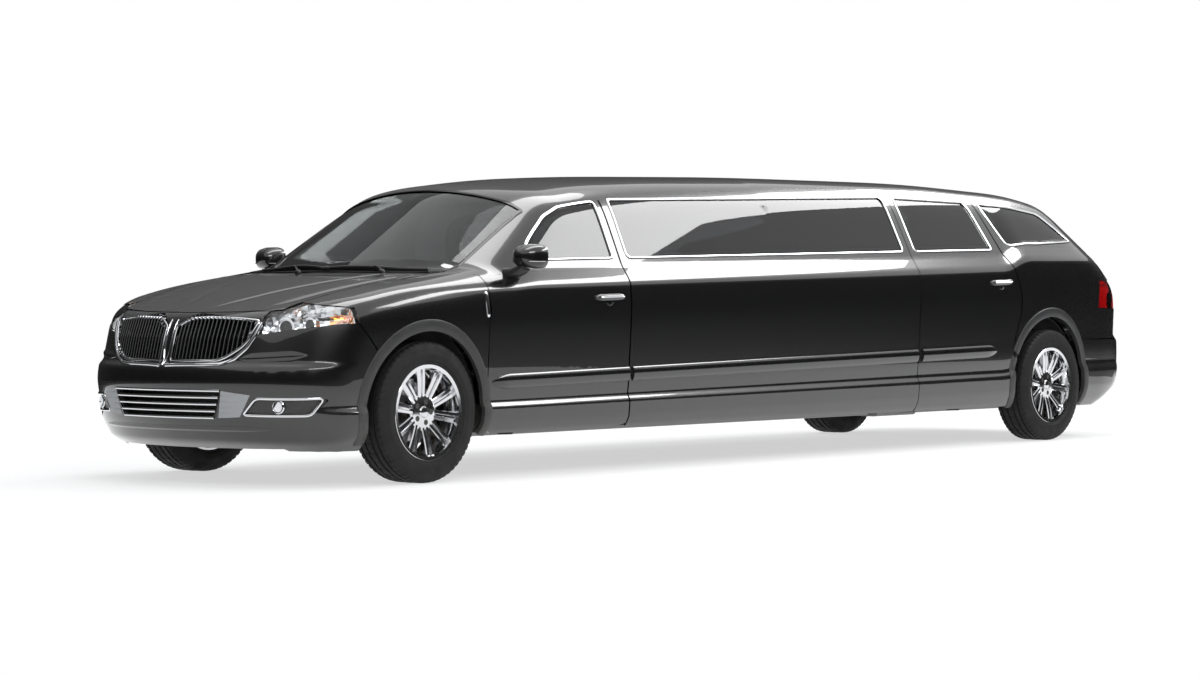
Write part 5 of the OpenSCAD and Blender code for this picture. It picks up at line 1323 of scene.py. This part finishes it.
corners = nose_corners([(0.400, 0.494), (0.552, 0.474), (0.486, 0.362), (0.366, 0.356)])
plate = skin_patch("left_intake_plate", corners, -0.0022, 0.005, plate_grey)
pieces = [(plate, "lower_grille", "trim")]
for i in range(4):
    z = 0.380 + 0.030 * i
    y = np.linspace(0.378 + 0.008 * i, 0.486 + 0.016 * i, 20)
    rib = sweep(f"left_intake_rib_{i}", nose_point(y, z + 0 * y), half_round(0.011, 0.0055), plate_grey,
                taper=np.linspace(1, 0.35, 20))
    pieces.append((rib, "lower_grille", "trim"))
y = np.linspace(0.47, 0.775, 40)
crease = sweep("left_bumper_crease", nose_point(y, 0.655 + 0.020 * (y - 0.47) / 0.3),
               soft_ridge(0.055, 0.0080), paint, taper=both_ends(40, 0.2, 0.03) ** 0.6)
pieces.append((crease, "front_bumper", "paint"))
y = np.linspace(-0.62, 0.62, 70)
chin = sweep("chin_bead", nose_point(y, 0.298 + 0 * y), soft_ridge(0.034, 0.0060), paint,
             taper=np.clip((0.62 - np.abs(y)) / 0.12, 0.03, 1) ** 0.6)
fit(chin, "front_bumper")
for piece, node, slot in pieces:
    pair(piece, node)
print("nose plates:", 2 * len(pieces))

# %% Tail
def tail_point(y, z, lift=0.0):
    y, z = np.broadcast_arrays(np.asarray(y, float), np.asarray(z, float))
    return onto_skin(np.stack([tail_x(y, z), y, z], 1), lift, 4)


y = np.linspace(-0.50, 0.50, 60)
strip = sweep("tailgate_strip", tail_point(y, 0.905 + 0 * y), half_round(0.030, 0.009), chrome,
              taper=np.clip((0.50 - np.abs(y)) / 0.03, 0.05, 1) ** 0.5)
fit(strip, "tailgate")
corners = [tail_point([a], [b])[0] for a, b in ((0.52, 0.470), (0.66, 0.474), (0.66, 0.440), (0.52, 0.436))]
lens = skin_patch("left_tail_reflector", corners, -0.003, 0.007, red_lens)
pair(lens, "rear_bumper")
print("tail fittings: 3")

# %% Brake calipers
def caliper(corner, node):
    x, side = wheel_places[corner]
    rows = []
    for k, a in enumerate(np.radians(np.linspace(18, 74, 15))):
        swell = 1 - 0.35 * abs(k / 7 - 1) ** 3
        middle, half_r, half_y = 0.150, 0.034 * swell, 0.036 * swell
        c, s = math.cos(a) * -side, math.sin(a)
        centre = (x + middle * c, side * (TRACK_HALF - 0.018), TYRE_R + middle * s)
        rows.append(ring_of(centre, (half_r, half_y), ((c, 0, s), Y), 4, 24))
    fit(loft("brake_caliper_" + corner, rows, iron), node)


for corner, node in zip(wheel_places, ("knuckle_left", "knuckle_right", "rear_axle", "rear_axle")):
    caliper(corner, node)
print("calipers: 4")

# %% [markdown]
# ## Seats
# A car seat is foam under leather: the middle stands up, the edges are drawn down by the seam, and the
# sides pull in between the corners. A cloth simulation could find that shape, but a seat pad is stiff foam
# and keeps the form it was cast in, so the crown, the pull and the sewn channels are written as one height
# formula over a flat grid. Every pad lies in the space of the solid seat, on a plinth on the floor.

# %% Pads
def edge_rich(count):
    """Places from -1 to 1, closer together towards the ends."""
    return 0.55 * np.sin(np.linspace(-math.pi / 2, math.pi / 2, count)) + 0.45 * np.linspace(-1, 1, count)


def pad(name, half, place, axes, channels=(), columns=49, rows=37):
    """A closed crowned pad: half sizes along, across and up, sewn channels at shares along."""
    u, v = np.meshgrid(edge_rich(columns), edge_rich(rows), indexing="ij")
    rise = (np.clip(1 - np.abs(u) ** 5, 0, 1) * np.clip(1 - np.abs(v) ** 5, 0, 1)) ** 0.5
    crown = rise * (0.72 + 0.28 * (1 - u ** 2) * (1 - v ** 2))
    sewn = sum(np.exp(-((u - c) / 0.030) ** 2) for c in channels) if len(channels) else 0 * u
    top = crown * (1 - 0.30 * sewn * np.clip(1.15 - np.abs(v), 0, 1) ** 0.3)
    along = u * np.sqrt(1 - 0.10 * v ** 2) * (1 - 0.035 * (1 - v ** 2) * np.abs(u))
    across = v * np.sqrt(1 - 0.10 * u ** 2) * (1 - 0.035 * (1 - u ** 2) * np.abs(v))
    upper = np.stack([along * half[0], across * half[1], top * half[2]], 2).reshape(-1, 3)
    lower = np.stack([along * half[0], across * half[1], -rise ** 0.5 * half[2]], 2).reshape(-1, 3)
    inner = np.arange(columns * rows).reshape(columns, rows)
    below = inner.copy()
    below[1:-1, 1:-1] = columns * rows + np.arange((columns - 2) * (rows - 2)).reshape(columns - 2, rows - 2)
    points = np.vstack([upper, lower.reshape(columns, rows, 3)[1:-1, 1:-1].reshape(-1, 3)])
    flat = grid_faces(columns, rows)
    faces = [tuple(inner.flat[k] for k in f) for f in flat]
    faces += [tuple(below.flat[k] for k in f[::-1]) for f in flat]
    frame_axes = unit(np.array(axes, float))
    world = np.asarray(place) + points @ frame_axes
    obj = mesh_object(name, world, faces, leather, smooth=True)
    rim = np.concatenate([inner[:, 0], inner[-1, 1:], inner[-2::-1, -1], inner[0, -2:0:-1]])
    welt = tube(name + "_welt", evenly(world[rim], 0.012, closed=True), 0.0042, leather, closed=True, count=8)
    return obj, welt


def plinth(name, rows, material):
    """A seat's stand: rounded rings of (x, y, z, half length, half width)."""
    return loft(name, [ring_of(r[:3], r[3:], (X, Y), 7) for r in rows], material)


FLOOR = 0.295
lean = unit(np.array([-0.389, 0, 0.921]))
seat_axes = (X, Y, Z)


def chair(name, x, y, half, places, node, channels):
    """A seat that faces forward: plinth, and a cushion, a back and a head rest for each place."""
    rings = [(x - back, y, FLOOR + h, a, half * b) for back, h, a, b in (
        (0.275, 0, 0.225, 0.90), (0.275, 0.02, 0.235, 0.93), (0.285, 0.15, 0.262, 0.96),
        (0.285, 0.165, 0.255, 0.94))]
    made = [plinth(name + "_plinth", rings, trim)]
    wide = half / len(places)
    back_axes = (lean, Y, np.cross(lean, Y))
    for k, v in enumerate(places):
        head = y + 0.362 * np.sign(v)
        for part, size, place, axes, sewn in (
                ("cushion", (0.243, wide * 0.97, 0.076), (x - 0.247, y + v, FLOOR + 0.218), seat_axes,
                 channels),
                ("back", (0.208, wide * 0.97, 0.072), (x - 0.556, y + v, FLOOR + 0.445), back_axes, channels),
                ("head_rest", (0.080, 0.128, 0.036), (x - 0.648, head, FLOOR + 0.722), back_axes, ())):
            made += pad(f"{name}_{part}_{k}", size, place, axes, sewn)
    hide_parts(node)
    for piece in made:
        fit(piece, node)
    return made


# %% Front seats
SEAT_X, SEAT_Y, SEAT_HALF = FRONT_AXLE - 1.06 * FRONT, 0.39 * HALF_W, 0.265 * HALF_W
front = chair("front_seat_left", SEAT_X, SEAT_Y, SEAT_HALF, [0], "front_seats", (-0.35, 0.0, 0.35))
for piece in front:
    twin = mirrored(piece, "front_seats")
print("front seat pieces:", 2 * len(front))

# %% Rear bench and side bench
BENCH_X, BENCH_HALF = REAR_AXLE + 1.02 * REAR, 0.625 * HALF_W
bench = chair("rear_bench", BENCH_X, 0.0, BENCH_HALF, [-BENCH_HALF / 2, BENCH_HALF / 2], "cabin_seats",
              (-0.35, 0.0, 0.35))
SIDE_X = (REAR_AXLE + 1.55 * REAR, FRONT_AXLE - 1.95 * FRONT)
step = (SIDE_X[1] - SIDE_X[0]) / 4
middle = (SIDE_X[0] + SIDE_X[1]) / 2
rings = [(middle, y, FLOOR + h, 2 * step * a, b) for y, h, a, b in (
    (0.410, 0, 0.985, 0.218), (0.410, 0.02, 0.99, 0.226), (0.405, 0.150, 0.997, 0.236),
    (0.405, 0.165, 0.99, 0.230))]
made = [plinth("side_bench_plinth", rings, trim)]
back_up = unit(np.array([0, 0.0965, 0.346]))
back_axes = (X, back_up, np.cross(X, back_up))
for k in range(4):
    x = SIDE_X[0] + (k + 0.5) * step
    for part, size, place, axes in (
            ("cushion", (step * 0.487, 0.206, 0.076), (x, 0.373, FLOOR + 0.218), seat_axes),
            ("back", (step * 0.487, 0.185, 0.038), (x, 0.676, FLOOR + 0.448), back_axes)):
        made += pad(f"side_bench_{part}_{k}", size, place, axes, (-0.45, 0.0, 0.45))
for piece in made:
    fit(piece, "cabin_seats")
print("bench pieces:", len(bench) + len(made))

# %% Floor mats
for name, x, y, half in (("driver_mat_left", 2.28, 0.376, (0.20, 0.24)),
                         ("cabin_runner", -0.20, -0.112, (1.30, 0.235))):
    rings = [ring_of((x, y, FLOOR + h), (half[0] - inset, half[1] - inset), (X, Y), 8, 64)
             for h, inset in ((0.0004, 0), (0.005, 0), (0.008, 0.006))]
    mat = loft(name, rings, carpet)
    fit(mat, "underbody")
    if name.endswith("left"):
        mirrored(mat, "underbody")
print("mats: 3")
